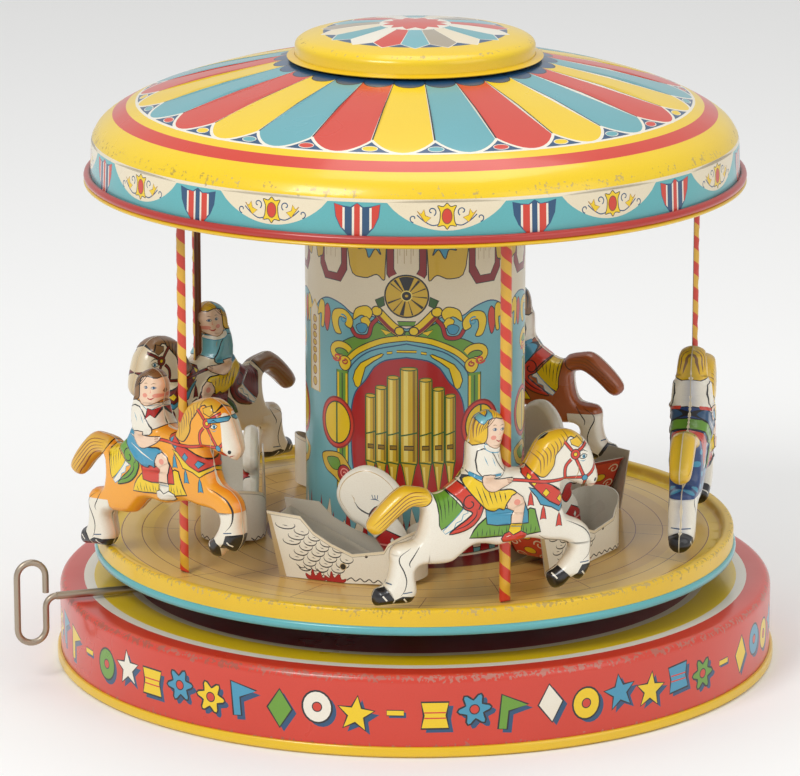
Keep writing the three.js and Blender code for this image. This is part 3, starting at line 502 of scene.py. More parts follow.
@dataclass(frozen=True)
class MetalFinish:
    """Plain metal with fine marks, oil and tarnish."""

    name: str
    colour: tuple[float, float, float]
    tarnish: tuple[float, float, float]
    roughness: float
    lines: float = 600

    def material(self) -> bpy.types.Material:
        """Returns the finish's material."""
        return Graph.once(self.name, self._wire)

    def _wire(self, graph: Graph) -> None:
        """Wires the metal."""
        place = graph.node("ShaderNodeTexCoord").outputs["Object"]
        cloud = graph.noise(place, 60, 4)
        fine = graph.noise(graph.stretched(place, (1, 1, 6)), self.lines, 3)
        spots = graph.noise(place, 380, 3)
        mixed = graph.mix("MIX", graph.ramp(cloud, 0.38, 0.68, 0, 0.85), self.colour, self.tarnish)
        rust = graph.mix("MIX", graph.ramp(spots, 0.62, 0.72, 0, 0.7), mixed, (0.12, 0.05, 0.02))
        colour = graph.mix("MULTIPLY", graph.ramp(fine, 0.35, 0.65, 0, 0.3), rust, (0.6, 0.6, 0.6))
        gloss = graph.math("ADD", graph.ramp(cloud, 0.3, 0.7, self.roughness - 0.08, self.roughness + 0.12),
                           graph.math("MULTIPLY", spots, 0.1))
        graph.shade(colour, gloss, graph.bump(fine, 0.2, 0.0001), 1.0, 0.0)


PRINTED = Finish("litho_lacquer")
PRINTED_SATIN = Finish("litho_lacquer_satin", roughness=0.38, coat=0.35, grime=0.3)
BRIGHT_STEEL = MetalFinish("motor_steel", (0.46, 0.45, 0.43), (0.24, 0.21, 0.18), 0.32)
DARK_STEEL = MetalFinish("key_steel", (0.095, 0.075, 0.058), (0.045, 0.033, 0.025), 0.46)
BRASS = MetalFinish("wheel_brass", (0.72, 0.52, 0.22), (0.34, 0.22, 0.09), 0.34)


@dataclass
class Pressing:
    """Bends one cut sheet into its shape and gives it the thickness of tinplate."""

    name: str
    sheet: Print
    inner: np.ndarray
    shape: Shape
    thickness: float = 0.5
    back: Ink = Ink.BARE
    lining: Shape | None = None
    tint: Tint | None = None
    rub: Callable[[np.ndarray], np.ndarray] | None = None
    finish: Finish = PRINTED
    probe: float = 0.05

    def normals(self, flat: np.ndarray, shape: Shape) -> np.ndarray:
        """Returns the outward direction of one face of the sheet at each flat point."""
        low, high = flat.min(0), flat.max(0)
        e = self.probe
        pairs = []
        for axis in (0, 1):
            ahead, behind = flat.copy(), flat.copy()
            ahead[:, axis] = np.minimum(flat[:, axis] + e, high[axis])
            behind[:, axis] = np.maximum(flat[:, axis] - e, low[axis])
            pairs.append(shape(ahead) - shape(behind))
        normal = np.cross(*pairs)
        return normal / (np.linalg.norm(normal, axis=1, keepdims=True) + TINY)

    def build(self) -> bpy.types.Object:
        """Makes the piece.

        Returns:
            The finished object, with its place in its mesh.
        """
        flat, faces, colours = self.sheet.cut(self.inner)
        outer, normal = self.shape(flat), self.normals(flat, self.shape)
        behind = self.normals(flat, self.lining) if self.lining else normal
        inside = self.lining(flat) if self.lining else outer - normal * self.thickness
        _, first, index = np.unique(np.round(outer, 4), axis=0, return_index=True, return_inverse=True)
        index = index.ravel()
        joined = np.zeros((len(first), 6))
        np.add.at(joined, index, np.hstack([normal, -behind]))
        turned = np.vstack([joined[:, :3], joined[:, 3:]])
        turned /= np.linalg.norm(turned, axis=1, keepdims=True) + 1e-12
        solid = index[faces]
        whole = (solid[:, 0] != solid[:, 1]) & (solid[:, 1] != solid[:, 2]) & (solid[:, 2] != solid[:, 0])
        solid, faces, colours = solid[whole], faces[whole], colours[whole]
        count = len(first)
        sides = np.vstack([solid[:, [0, 1]], solid[:, [1, 2]], solid[:, [2, 0]]])
        known = {(a, b) for a, b in sides.tolist()}
        rim = np.array([e for e in known if (e[1], e[0]) not in known]).reshape(-1, 2)
        walls = np.stack([rim[:, 1], rim[:, 0], rim[:, 0] + count, rim[:, 1] + count], 1)
        points = np.vstack([outer[first], inside[first]]) * MM
        polygons = [*solid.tolist(), *(solid[:, ::-1] + count).tolist(), *walls.tolist()]
        mesh = bpy.data.meshes.new(self.name)
        mesh.from_pydata(points.tolist(), [], polygons)
        self._colour(mesh, flat, faces, colours, len(walls))
        self._unwrap(mesh, flat, faces, len(walls))
        rubbed = self.rub(flat) if self.rub else np.zeros(len(flat))
        marks = mesh.attributes.new("Rub", "FLOAT", "POINT")
        marks.data.foreach_set("value", np.tile(rubbed[first], 2).astype(np.float32))
        smooth_faces = np.ones(len(polygons), bool)
        smooth_faces[2 * len(solid):] = False
        mesh.polygons.foreach_set("use_smooth", smooth_faces)
        loops = np.array([i for face in polygons[: 2 * len(solid)] for i in face])
        custom = np.zeros((len(mesh.loops), 3))
        custom[: len(loops)] = turned[loops]
        mesh.normals_split_custom_set(custom.tolist())
        mesh.materials.append(self.finish.material())
        return linked(self.name, mesh)

    def _colour(self, mesh: bpy.types.Mesh, flat: np.ndarray, faces: np.ndarray,
                colours: np.ndarray, walls: int) -> None:
        """Writes the printed colours, and the back's colour inside and on the cut edge."""
        front = np.repeat(colours, 3, axis=0)
        if self.tint:
            front = self.tint(flat[faces].reshape(-1, 2), front)
        back = np.tile(self.back.linear(), (len(front) + 4 * walls, 1))
        both = np.vstack([front, back])
        attribute = mesh.color_attributes.new("Ink", "FLOAT_COLOR", "CORNER")
        attribute.data.foreach_set("color",
                                   np.hstack([both, np.ones((len(both), 1))]).astype(np.float32).ravel())

    def _unwrap(self, mesh: bpy.types.Mesh, flat: np.ndarray, faces: np.ndarray, walls: int) -> None:
        """Lays the print over most of the map and the plain back along its top edge."""
        low = flat.min(0)
        spread = (flat - low) / (flat.max(0) - low)
        front = spread[faces].reshape(-1, 2) * (0.998, 0.86) + 0.001
        back = spread[faces[:, ::-1]].reshape(-1, 2) * (0.998, 0.10) + (0.001, 0.88)
        edge = np.tile(path("0.2,0.99 0.201,0.99 0.201,0.995 0.2,0.995"), (walls, 1))
        layout = mesh.uv_layers.new(name="OFBake")
        layout.data.foreach_set("uv",
                                np.vstack([front, back, edge.reshape(-1, 2)]).astype(np.float32).ravel())


@dataclass
class Turned:
    """A turned shape: the sheet's width runs round it and its height follows the profile."""

    profile: Sequence[Point]
    radius: float
    _line: np.ndarray = field(init=False)
    _along: np.ndarray = field(init=False)

    def __post_init__(self) -> None:
        """Measures along the profile."""
        self._line = np.array(self.profile, float)
        self._along = distances(self._line)

    @property
    def length(self) -> float:
        """Length of the profile."""
        return float(self._along[-1])

    @property
    def width(self) -> float:
        """Width of a sheet that goes all round."""
        return TAU * self.radius

    def __call__(self, flat: np.ndarray) -> np.ndarray:
        """Returns the place of each point of the flat sheet; its middle faces the front."""
        angle = (flat[:, 0] - self.width / 2) / self.radius
        r = np.interp(flat[:, 1], self._along, self._line[:, 0])
        z = np.interp(flat[:, 1], self._along, self._line[:, 1])
        return np.stack([r * np.sin(angle), -r * np.cos(angle), z], 1)

    def at(self, degrees: float, radius: float | None = None, height: float | None = None) -> Point:
        """Returns the point of the sheet at an angle, and at a radius or a height of the profile."""
        column, wanted = (0, radius) if height is None else (1, height)
        line = self._line[:, column]
        order = slice(None) if line[-1] >= line[0] else slice(None, None, -1)
        along = float(np.interp(wanted, line[order], self._along[order]))
        return (self.width / 2 + math.radians(degrees) * self.radius, along)

    def band(self, low: float, high: float, start: float = -180, end: float = 180) -> list[Point]:
        """Returns a band between two lengths along the profile, over a range of degrees."""
        count = max(int((end - start) / 3), 1)
        angles = [start + (end - start) * i / count for i in range(count + 1)]
        across = [self.width / 2 + math.radians(a) * self.radius for a in angles]
        return [(x, low) for x in across] + [(x, high) for x in reversed(across)]

    def grid(self, across: int, extra: Sequence[float] = ()) -> np.ndarray:
        """Returns bending points: columns round the shape, and rows where the profile turns."""
        rows = np.unique(np.concatenate([self._along, np.array(extra, float)]))
        return lattice(np.linspace(0, self.width, across + 1), rows)


def rounded(points: Sequence[Point], radius: float, steps: int = 4) -> list[Point]:
    """Returns a profile with its inner corners rounded."""
    p = [np.array(q, float) for q in points]
    line = [tuple(p[0])]
    for before, corner, after in zip(p, p[1:], p[2:]):
        back, on = before - corner, after - corner
        reach = min(radius, 0.45 * float(np.linalg.norm(back)), 0.45 * float(np.linalg.norm(on)))
        start = corner + back / np.linalg.norm(back) * reach
        end = corner + on / np.linalg.norm(on) * reach
        for k in range(steps + 1):
            t = k / steps
            line.append(tuple((1 - t) ** 2 * start + 2 * t * (1 - t) * corner + t * t * end))
    line.append(tuple(p[-1]))
    return line


def clean(bm: bmesh.types.BMesh, name: str, finish: Finish | MetalFinish,
          ink: Ink = Ink.BARE) -> bpy.types.Object:
    """Turns a bmesh in millimetres into a finished piece.

    Args:
        bm: Mesh to use up.
        name: Name of the piece.
        finish: What covers it.
        ink: Colour that a lacquered piece reads.

    Returns:
        The piece, in place.
    """
    bmesh.ops.remove_doubles(bm, verts=bm.verts, dist=PRECISION)
    bmesh.ops.recalc_face_normals(bm, faces=bm.faces)
    bmesh.ops.scale(bm, vec=Vector((MM, MM, MM)), verts=bm.verts)
    mesh = bpy.data.meshes.new(name)
    bm.to_mesh(mesh)
    bm.free()
    mesh.shade_smooth()
    mesh.set_sharp_from_angle(angle=math.radians(40))
    colour = mesh.color_attributes.new("Ink", "FLOAT_COLOR", "CORNER")
    colour.data.foreach_set("color", np.tile([*ink.linear(), 1.0], len(mesh.loops)).astype(np.float32))
    mesh.materials.append(finish.material())
    return linked(name, mesh)


def spun(profile: Sequence[Point], sides: int = 160, closed: bool = True) -> bmesh.types.BMesh:
    """Spins a profile of radius and height round the spindle's axis.

    Args:
        profile: Corners of the section.
        sides: Steps of a full turn.
        closed: True if the last corner joins the first.

    Returns:
        The spun mesh, in millimetres.
    """
    bm = bmesh.new()
    verts = [bm.verts.new((r, 0, z)) for r, z in profile]
    pairs = zip(verts, verts[1:] + verts[:1]) if closed else zip(verts, verts[1:])
    edges = [bm.edges.new(pair) for pair in pairs]
    bmesh.ops.spin(bm, geom=verts + edges, cent=(0, 0, 0), axis=(0, 0, 1), angle=TAU, steps=sides,
                   use_merge=True)
    return bm


def bead(radius: float, height: float, size: float, rise: float, sides: int = 12) -> list[Point]:
    """Returns the section of a rolled edge: an ellipse round a radius and height."""
    return [(radius + size * math.cos(TAU * i / sides), height + rise * math.sin(TAU * i / sides))
            for i in range(sides)]


# ---------- Base ----------
def star(points: int, outer: float, inner: float) -> list[Point]:
    """Returns a star with one point upwards."""
    loop = []
    for i in range(points * 2):
        r = outer if i % 2 == 0 else inner
        a = math.pi / 2 + math.pi * i / points
        loop.append((r * math.cos(a), r * math.sin(a)))
    return loop


class Motif(Enum):
    """Fairground shapes printed round the base."""

    STAR = "star"
    BALL = "ball"
    DIAMOND = "diamond"
    PENNANT = "pennant"
    FLOWER = "flower"
    DRUM = "drum"

    def loop(self) -> list[Point]:
        """Returns the shape's outline, about 11 mm high."""
        if self is Motif.STAR:
            return star(5, 6.2, 2.8)
        if self is Motif.BALL:
            return ellipse(0, 0, 4.9, 5.3)
        if self is Motif.DIAMOND:
            return diamond(4.3, 6.4)
        if self is Motif.PENNANT:
            return path("-4.4,5.6 4.8,2.6 -1.4,0.2 -1.4,-5.8 -4.4,-5.8")
        if self is Motif.FLOWER:
            return [((4.4 + 1.2 * math.cos(6 * a)) * math.cos(a), (4.4 + 1.2 * math.cos(6 * a)) * math.sin(a))
                    for a in np.linspace(0, TAU, 36, endpoint=False)]
        return path("-4.4,4.4 4.4,4.4 3.6,0 4.4,-4.4 -4.4,-4.4 -3.6,0")


@dataclass
class Base:
    """Printed base shell with its ring-striped top, and the yellow crimped bottom plate."""

    radius: float = 131.9
    height: float = 29.6
    hole: float = 52.0
    hem: float = 133.2
    motif_size: float = 1.1
    shape: Turned = field(init=False)

    def __post_init__(self) -> None:
        """Lays out the shell's profile from the hem up and in over the top."""
        profile = [(self.radius, 3.4), (self.radius, self.height), (self.hole, self.height)]
        self.shape = Turned(rounded(profile, 3.2, 6), self.radius)

    def artwork(self) -> Print:
        """Returns the printed sheet."""
        at, band, end = self.shape.at, self.shape.band, self.shape.length
        sheet = Print(band(0, end), Ink.CORAL)
        # From 105 mm in, the top's red is printed darker, as wine: painted shade under the turntable's
        # overhang.
        rings = ((123.0, Ink.WHITE), (119.2, Ink.YELLOW), (108.0, Ink.CREAM), (105.0, Ink.WINE))
        for radius, ink in rings:
            sheet.area(band(at(0, radius=radius)[1], end), ink)
        colours = (Ink.YELLOW, Ink.BLUE, Ink.GREEN, Ink.WHITE, Ink.YELLOW, Ink.BLUE)
        middle = self.shape.at(0, height=16.2)[1]
        for i in range(60):
            x = self.shape.at(-177 + 6 * i, height=10)[0]
            motif = list(Motif)[(i * 5 + i // 6) % 6]
            if i % 10 == 9:
                dash = box(-3, 1, 3, -1)
                sheet.area(moved(dash, x + 0.8, middle - 0.8), Ink.DARK_BLUE)
                sheet.edged(moved(dash, x, middle), Ink.YELLOW)
                continue
            turn = (-6, 5, 0, 7)[i % 4]
            lift = middle + (0.9 if i % 2 else -0.9)
            loop = motif.loop()
            sheet.area(moved(loop, x + 1.6, lift - 1.4, self.motif_size, turn), Ink.DARK_BLUE)
            sheet.edged(moved(loop, x, lift, self.motif_size, turn), colours[i % 6], width=0.7)
            if motif in (Motif.BALL, Motif.FLOWER):
                sheet.edged(ellipse(x, lift, 1.7, 1.7), Ink.CORAL, width=0.4)
            if motif is Motif.DRUM:
                for side in (-1, 1):
                    sheet.line([(x - 3.8, lift + side), (x + 3.8, lift + side)], Ink.CORAL, 0.5)
        return sheet

    def build(self) -> list[bpy.types.Object]:
        """Makes the shell and the bottom plate."""
        edge = self.shape.at(0, height=self.height - 1)[1]

        def rub(flat: np.ndarray) -> np.ndarray:
            """Wears the shoulder and the hem."""
            return ridge(flat, edge, 2.5) + np.exp(-flat[:, 1] / 2.5)

        rows = np.concatenate([np.linspace(2, 24, 6), np.linspace(32, self.shape.length - 2, 14)])
        shell = Pressing("base_print", self.artwork(), self.shape.grid(150, rows), self.shape,
                         back=Ink.BARE, rub=rub).build()
        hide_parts("base_shell")
        r = self.hem
        plate = clean(spun([(0.02, 0), (r - 1.8, 0), (r - 0.7, 0.15), (r, 0.9), (r, 3.2), (r - 0.4, 3.8),
                            (r - 1.2, 3.9), (r - 1.25, 1.1), (r - 2, 0.8), (0.02, 0.8)]),
                      "base_hem_plate", PRINTED, Ink.RIM_YELLOW)
        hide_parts("base_bottom_plate")
        return [shell, plate]


# ---------- Turntable ----------
@dataclass
class Turntable:
    """Printed plank floor with its yellow raised rim and blue rolled hem."""

    radius: float = 118.0
    floor: float = FLOOR_HEIGHT
    lip: float = 49.2
    edge: float = 113.4
    hub: float = 4.4
    shape: Turned = field(init=False)

    def __post_init__(self) -> None:
        """Lays out the profile from the hem up over the lip and in to the hub."""
        profile = [(self.radius, 40.4), (self.radius, self.lip), (self.edge + 0.8, self.lip),
                   (self.edge, self.floor), (self.hub, self.floor)]
        self.shape = Turned(rounded(profile, 1.3, 4), self.radius)

    def artwork(self) -> Print:
        """Returns the printed sheet."""
        at, band, end = self.shape.at, self.shape.band, self.shape.length
        sheet = Print(band(0, end), Ink.RIM_YELLOW)
        sheet.area(band(0, at(0, height=40.9)[1] + 2.2), Ink.TURQUOISE)

        def ring(radius: float, ink: Ink, width: float | None = None) -> None:
            """Prints a ring inwards from a radius."""
            start = end - (radius - self.hub)
            sheet.area(band(start, end if width is None else start + width), ink)

        ring(self.edge - 0.6, Ink.YELLOW)
        ring(self.edge - 4.2, Ink.FLOOR_LIGHT)
        ring(97, Ink.FLOOR)
        ring(55, Ink.DARK_RED)
        ring(42.6, Ink.CREAM)
        circles = (109, 101.5, 92, 82, 72, 62.5, 55.4)
        for radius in circles:
            ring(radius, Ink.FLOOR_LINE, 0.34)
        for k in range(24):
            first = (0, 2, 1, 3)[k % 4]
            outer, inner = (end - (circles[i] - self.hub) for i in (first, first + 2))
            x = at(15 * k - 180 + 4 * (k % 3), radius=0)[0]
            half = 0.16 * self.radius / circles[first]
            sheet.area([(x - half, outer), (x + half, outer), (x + half + 5, inner), (x + 5 - half, inner)],
                       Ink.FLOOR_LINE)
        return sheet

    def build(self) -> list[bpy.types.Object]:
        """Makes the floor sheet and its rolled hem."""
        end = self.shape.length

        def rub(flat: np.ndarray) -> np.ndarray:
            """Wears the lip."""
            return 0.9 * ridge(flat, 8.5, 2.2)

        def aged(flat: np.ndarray, colour: np.ndarray) -> np.ndarray:
            """Browns the floor in rings and patches, as handled print does."""
            wave = 0.5 + 0.5 * np.sin(flat[:, 1] * 0.52) * np.sin(flat[:, 0] * 0.045 + flat[:, 1] * 0.06)
            share = (0.16 * wave * (flat[:, 1] > 13))[:, None]
            return colour * (1 - share * np.array([0.35, 0.6, 0.9]))

        rows = np.linspace(14, end - 1, 26)
        top = Pressing("turntable_print", self.artwork(), self.shape.grid(180, rows), self.shape,
                       back=Ink.BARE, rub=rub, tint=aged, finish=PRINTED_SATIN).build()
        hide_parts("turntable")
        hem = clean(spun(bead(self.radius + 0.1, 41.5, 0.8, 1.5)), "turntable_hem", PRINTED, Ink.TURQUOISE)
        return [top, hem]


# ---------- Column ----------
@dataclass
class Column:
    """Printed tube that looks like a fairground organ, three fronts round it."""

    radius: float = 40.4
    foot: float = 46.3
    top: float = 221.9
    fronts: int = 3
    first: float = -4.4
    spacing: tuple[Point, ...] = tuple(path("-10,-10 60,59 72,70.5 90,81.9 109,97.4 119,105.2 175,161"))
    shape: Turned = field(init=False)

    def __post_init__(self) -> None:
        """Lays out the straight profile."""
        self.shape = Turned([(self.radius, self.foot), (self.radius, self.top)], self.radius)

    def front(self, sheet: Print, x: float, ground: float) -> None:
        """Prints one organ front.

        Args:
            sheet: Sheet to print on.
            x: Middle of the front on the sheet.
            ground: Sheet height of the turntable floor.
        """
        def place(loop: Sequence[Point], flip: bool = False) -> list[Point]:
            """Returns a loop moved to this front, from heights above the floor."""
            drawn, printed = zip(*self.spacing)
            return [(a, ground + float(np.interp(b, drawn, printed)))
                    for a, b in moved(loop, x, 0, flip=flip)]

        def both(loop: Sequence[Point], ink: Ink, line: Ink | None = Ink.BLACK, width: float = 0.4) -> None:
            """Prints an area and its mirror image."""
            for flip in (False, True):
                sheet.area(place(loop, flip), ink)
                if line:
                    sheet.area(stroke(place(loop, flip), width, closed=True), line)

        def lines(points: Sequence[Point], ink: Ink, width: float, taper: bool = False) -> None:
            """Prints a line and its mirror image."""
            for flip in (False, True):
                sheet.line(place(points, flip), ink, width, taper)

        wave = curve(path("-42.4,96 -38.5,101.5 -33,104.2 -26,102.6 -20.5,99 -14.5,99.5 -8,97 0,94"))
        mirror = mirrored(wave)
        sheet.area(place([(-42.4, -5), *wave, *mirror, (42.4, -5)]), Ink.SKY)
        sheet.line(place(wave), Ink.DARK_BLUE, 0.5)
        sheet.line(place(mirror), Ink.DARK_BLUE, 0.5)
        self._frieze(sheet, place, both)
        for side in (-42.4, 42.4):
            rows = [(side - 3.6, 58), (side + 3.6, 58), (side + 3.6, 96), (side, 101), (side - 3.6, 96)]
            sheet.edged(place(rows), Ink.CREAM, Ink.GOLD, 0.9)
            for k in range(8):
                sheet.edged(place(ellipse(side, 61.5 + 4.4 * k, 1.5, 1.7)), Ink.GOLD, Ink.FLOOR_LINE, 0.35)
        spikes = [(-42.4, -3)]
        for k in range(11):
            spikes += [(-42.4 + 7.7 * k + 2.2, 12 + 7 * (k % 2)), (-42.4 + 7.7 * k + 4.9, 3)]
        both([(-42.4, 2), *spikes[1:12], (0, 2)], Ink.CREAM, Ink.BLACK, 0.35)
        for k in range(6):
            left = -40.5 + 7.4 * k
            both([(left, -1), (left + 2.5, 19 - 5 * (k % 2)), (left + 5, -1)], Ink.ORGAN_RED, Ink.BLACK, 0.35)
        arch = curve(path("-23.5,24 -23.5,63 -21,72 -13,81.5 0,86.5"), 5)
        whole = [*arch, *mirrored(arch[:-1])]
        sheet.edged(place(whole), Ink.SKY, Ink.DARK_BLUE, 0.5)
        both(smooth(path("-20.8,66.5 -17.5,73.5 -9.3,80.2 -9.3,78.2 -15.5,71.5 -18,63"), 2), Ink.YELLOW)
        both(path("-7.2,81.4 -5.2,81.9 -5.2,80.5 -7.2,80"), Ink.YELLOW, width=0.3)
        sheet.edged(place(box(-3.6, 82.6, 3.6, 81.3)), Ink.YELLOW, width=0.3)
        field_loop = curve(path(
            "0,78.5 -7.5,76.5 -12,72 -15.5,66.5 -19.6,61.5 -21.5,54 -21.5,40 -20,30 -14,22.5 -6,20.5"))
        sheet.edged(place([*field_loop, *mirrored(field_loop)]), Ink.ORGAN_RED, Ink.DARK_BLUE, 0.55)
        self._pipes(sheet, place)
        self._pediment(sheet, place, both, lines)
        both(path("-28.4,22 -28.4,69 -23,69 -23,22"), Ink.GREEN)
        lines([(-27.7, 23), (-27.7, 68)], Ink.YELLOW, 0.9)
        lines([(-23.7, 23), (-23.7, 68)], Ink.YELLOW, 0.9)
        lines([(-25.7, 23), (-25.7, 68)], Ink.DARK_GREEN, 0.7)
        both(ellipse(-28.5, 48.5, 8.2, 9.6, sides=28), Ink.CORAL, Ink.WINE, 0.7)
        both(ellipse(-28.5, 48.5, 6.5, 7.9, sides=28), Ink.YELLOW, Ink.BLACK, 0.5)
        lines([(-28.5, 40.8), (-28.5, 56.2)], Ink.DARK_GREEN, 0.8)
        both(smooth(path("-37,35 -35,30 -30,27.5 -24,24 -20.6,27 -22,32 -26,36.5 -31,37")), Ink.GOLD)
        both(smooth(path("-34,34 -31,30.5 -27,31 -28,35")), Ink.GREEN, width=0.3)
        both(ellipse(-25, 29.5, 3.1, 3.3), Ink.ORGAN_RED, Ink.BLACK, 0.4)
        lines(spiral(-25, 29.5, 2.2, 0.4, 0, 1.4), Ink.PINK, 0.45)

    @staticmethod
    def _frieze(sheet: Print, place: Callable, both: Callable) -> None:
        """Prints the framed panels and gold scrolls under the canopy, and the fan disc."""
        for middle in (-30.5, 0, 30.5):
            for wide, narrow, shoulder, foot, ink, width in ((7.2, 4.2, 119, 113, Ink.WINE, 0.35),
                                                             (4.6, 2.4, 121, 116.6, Ink.CREAM, 0.3)):
                panel = [(middle - wide, 170), (middle - wide, shoulder), (middle - narrow, foot)]
                panel += [(2 * middle - x, y) for x, y in reversed(panel)]
                sheet.edged(place(panel), ink, width=width)
            for k in range(9):
                sheet.line(place([(middle - 3.2 + 0.8 * k, 140),
                                  (middle - 3.2 + 0.8 * k, 123 + 3 * (k % 3))]), Ink.TAN, 0.25)
        both(smooth(path("-22.8,150 -22,121 -16,116.5 -11,118.5 -8.4,116 -7.8,121 -7.8,150")), Ink.GOLD)
        both(smooth(path(
            "-17,146 -17.4,130 -18.4,127.5 -15.4,127.8 -14,124.5 -11.6,128 -9.4,126 -10.6,131 -10.4,146")),
            Ink.BLUE)
        both(smooth(path("-41.5,150 -40.5,124 -37.5,122 -35.6,126 -35.4,150")), Ink.GOLD)
        sheet.edged(place(ellipse(0, 108.4, 9.4, 11.5)), Ink.CREAM, Ink.CREAM, 0.4)
        sheet.edged(place(ellipse(0, 109, 7.9, 9.7, sides=32)), Ink.GOLD, width=0.6)
        for start, end in ((68, 112), (122, 130), (140, 144), (200, 206), (228, 232), (250, 262), (285, 289),
                           (318, 326), (20, 24), (48, 56), (352, 356)):
            wedge = [(1.6 * math.cos(math.radians(a)), 109 + 2 * math.sin(math.radians(a)))
                     for a in (start, end)]
            wedge += [(7.4 * math.cos(math.radians(a)), 109 + 9.1 * math.sin(math.radians(a)))
                      for a in np.linspace(end, start, 5)]
            sheet.area(place(wedge), Ink.BLACK)
        sheet.edged(place(ellipse(0, 109, 1.9, 2.3)), Ink.BLACK, Ink.GOLD_LIGHT, 0.4)
        sheet.edged(place(ellipse(0, 109, 0.7, 0.7)), Ink.GOLD, width=0.2)

    @staticmethod
    def _pipes(sheet: Print, place: Callable) -> None:
        """Prints the seven organ pipes."""
        pipes = ((-13.5, 3.9, 60.8), (-9.4, 4.2, 64.3), (-4.9, 4.3, 68.4), (0.8, 6.1, 72), (6.9, 4.5, 67.6),
                 (11.6, 4.2, 63.9), (16, 3.8, 60.9))
        for x, width, top in pipes:
            half = width / 2
            body = [(x - half, top), (x + half, top), (x + half, 36), (x + half * 0.8, 34.6), (x, 22.6),
                    (x - half * 0.8, 34.6), (x - half, 36)]
            sheet.edged(place(body), Ink.GOLD, Ink.DARK_GREEN, 0.5)
            for left, right, ink in ((-0.62, -0.1, Ink.GOLD_LIGHT), (0.45, 0.8, Ink.GOLD_DARK)):
                sheet.area(place(box(x + half * left, top - 0.4, x + half * right, 36.5)), ink)
            sheet.area(place([(x - half * 0.5, 34.4), (x - half * 0.1, 34.4), (x, 24.5)]), Ink.GOLD_LIGHT)
            for y, bend in ((46.6, 0.9), (35.9, -0.5)):
                sheet.line(place([(x - half, y - bend * 0.4), (x, y + bend * 0.2), (x + half, y + bend)]),
                           Ink.DARK_GREEN, 0.55)
            sheet.edged(place(box(x - half * 0.55, 42.4, x + half * 0.55, 40.9)), Ink.GOLD_DARK, width=0.4)
            sheet.edged(place(ellipse(x, top, half, 0.8, sides=14)), Ink.GOLD, Ink.DARK_GREEN, 0.4)

    @staticmethod
    def _pediment(sheet: Print, place: Callable, both: Callable, lines: Callable) -> None:
        """Prints the scrollwork above the arch."""
        def ribbon(points: Sequence[Point], ink: Ink, width: float, border: float = 0.7) -> None:
            """Prints a line and its mirror image, with a black line along both sides."""
            lines(points, Ink.BLACK, width + border)
            lines(points, ink, width)

        both(smooth(path(
            "0,90.5 -8,89.5 -17,84 -22.5,76.5 -29.5,74.5 -30.5,80.5 -26,84 -21,88 -14.5,91 -13,97 -9,95.5 "
            "-4,93 0,93"), 3), Ink.GREEN)
        outer = curve(path("-23.5,73.5 -18,81 -9,87.6 0,90"))
        ribbon(outer, Ink.YELLOW, 1.8)
        scroll = spiral(-26.5, 78, 4.8, 3.4, 20, 0.75)
        ribbon(scroll, Ink.YELLOW, 2.2, 0.8)
        both(ellipse(-24.5, 72.6, 2.9, 3.6), Ink.YELLOW)
        lines(spiral(-24.6, 72.8, 1.6, 0.4, 90, -1.2), Ink.ORGAN_RED, 0.6)
        lines(spiral(-28.2, 74.6, 2.4, 0.5, 200, 1.3), Ink.CORAL, 0.7)
        sweep = curve(path("-10.5,101 -8.5,98.5 -5,94.5 -2.2,92.5"))
        ribbon(sweep, Ink.YELLOW, 3.4, 0.8)
        lines([(a - 0.7, b - 0.8) for a, b in sweep], Ink.WINE, 1.3)
        both(ellipse(-2.6, 93, 1.7, 1.9), Ink.YELLOW, width=0.45)
        both(ellipse(-11, 101.5, 2, 2.2), Ink.YELLOW, width=0.45)
        both(path("-10.2,103 -11.6,106.5 -8.4,108.4 -8,104.5"), Ink.DARK_GREEN)
        both(smooth(path("-20.5,96.5 -19.5,101.5 -15,103.5 -12.6,101 -14,97.5 -17,99")), Ink.YELLOW)
        both(smooth(path("-17.5,97 -15,98.6 -13.2,95.5 -15.5,93.6")), Ink.YELLOW, width=0.3)
        band = curve(path("-21.5,93 -19,89.2 -14.5,89.8 -13,95 -10.8,98"))
        ribbon(band, Ink.ORGAN_RED, 1.2)
        both(smooth(path("-19.4,93.8 -17,95.5 -14.7,94.6 -15.6,91.5 -18,91")), Ink.BLUE, width=0.3)
        both(smooth(path(
            "-29,89 -31,95 -29.5,99.5 -24.5,100.4 -20.8,96.6 -21.5,92.4 -24.2,93.5 -23.8,96 -26.8,96.6 "
            "-27.4,93 -26,89")), Ink.YELLOW)
        lines(spiral(-25.2, 96, 2, 0.4, 120, -1.1), Ink.BLUE, 0.6)
        both(smooth(path("-33.3,101.5 -31.7,97.5 -32.6,91 -33.6,88.6 -34.8,91 -35.7,97.5")), Ink.CORAL)
        both(smooth(path("-40,95 -38,102 -35.2,101 -35.6,91 -37.5,90.4 -37.2,96")), Ink.YELLOW)
        both(path("-5.6,92.4 -9.6,93.6 -7.6,90.8"), Ink.YELLOW, width=0.3)
        sheet.edged(place(path("-3.4,97.4 3.4,97.4 2.6,95.4 -2.6,95.4")), Ink.GREEN)

    def build(self) -> list[bpy.types.Object]:
        """Makes the column."""
        end = self.shape.length
        sheet = Print(self.shape.band(0, end), Ink.CREAM)
        for i in range(-1, self.fronts + 1):
            self.front(sheet, self.shape.at(self.first + 360 * i / self.fronts, height=60)[0], -0.3)

        def painted_column_shade(flat: np.ndarray, colour: np.ndarray) -> np.ndarray:
            """Darkens and warms the print towards the top and the foot: painted shade under the canopy and at
            the floor.
            """
            share = 0.22 * np.clip((flat[:, 1] - 100) / 30, 0, 1) + 0.12 * np.clip(1 - flat[:, 1] / 25, 0, 1)
            return colour * (1 - share[:, None] * np.array([0.5, 0.75, 1.0]))

        tube = Pressing("column_print", sheet, self.shape.grid(110, np.linspace(4, end - 4, 30)), self.shape,
                        back=Ink.BARE, tint=painted_column_shade, finish=PRINTED_SATIN).build()
        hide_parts("column")
        return [tube]


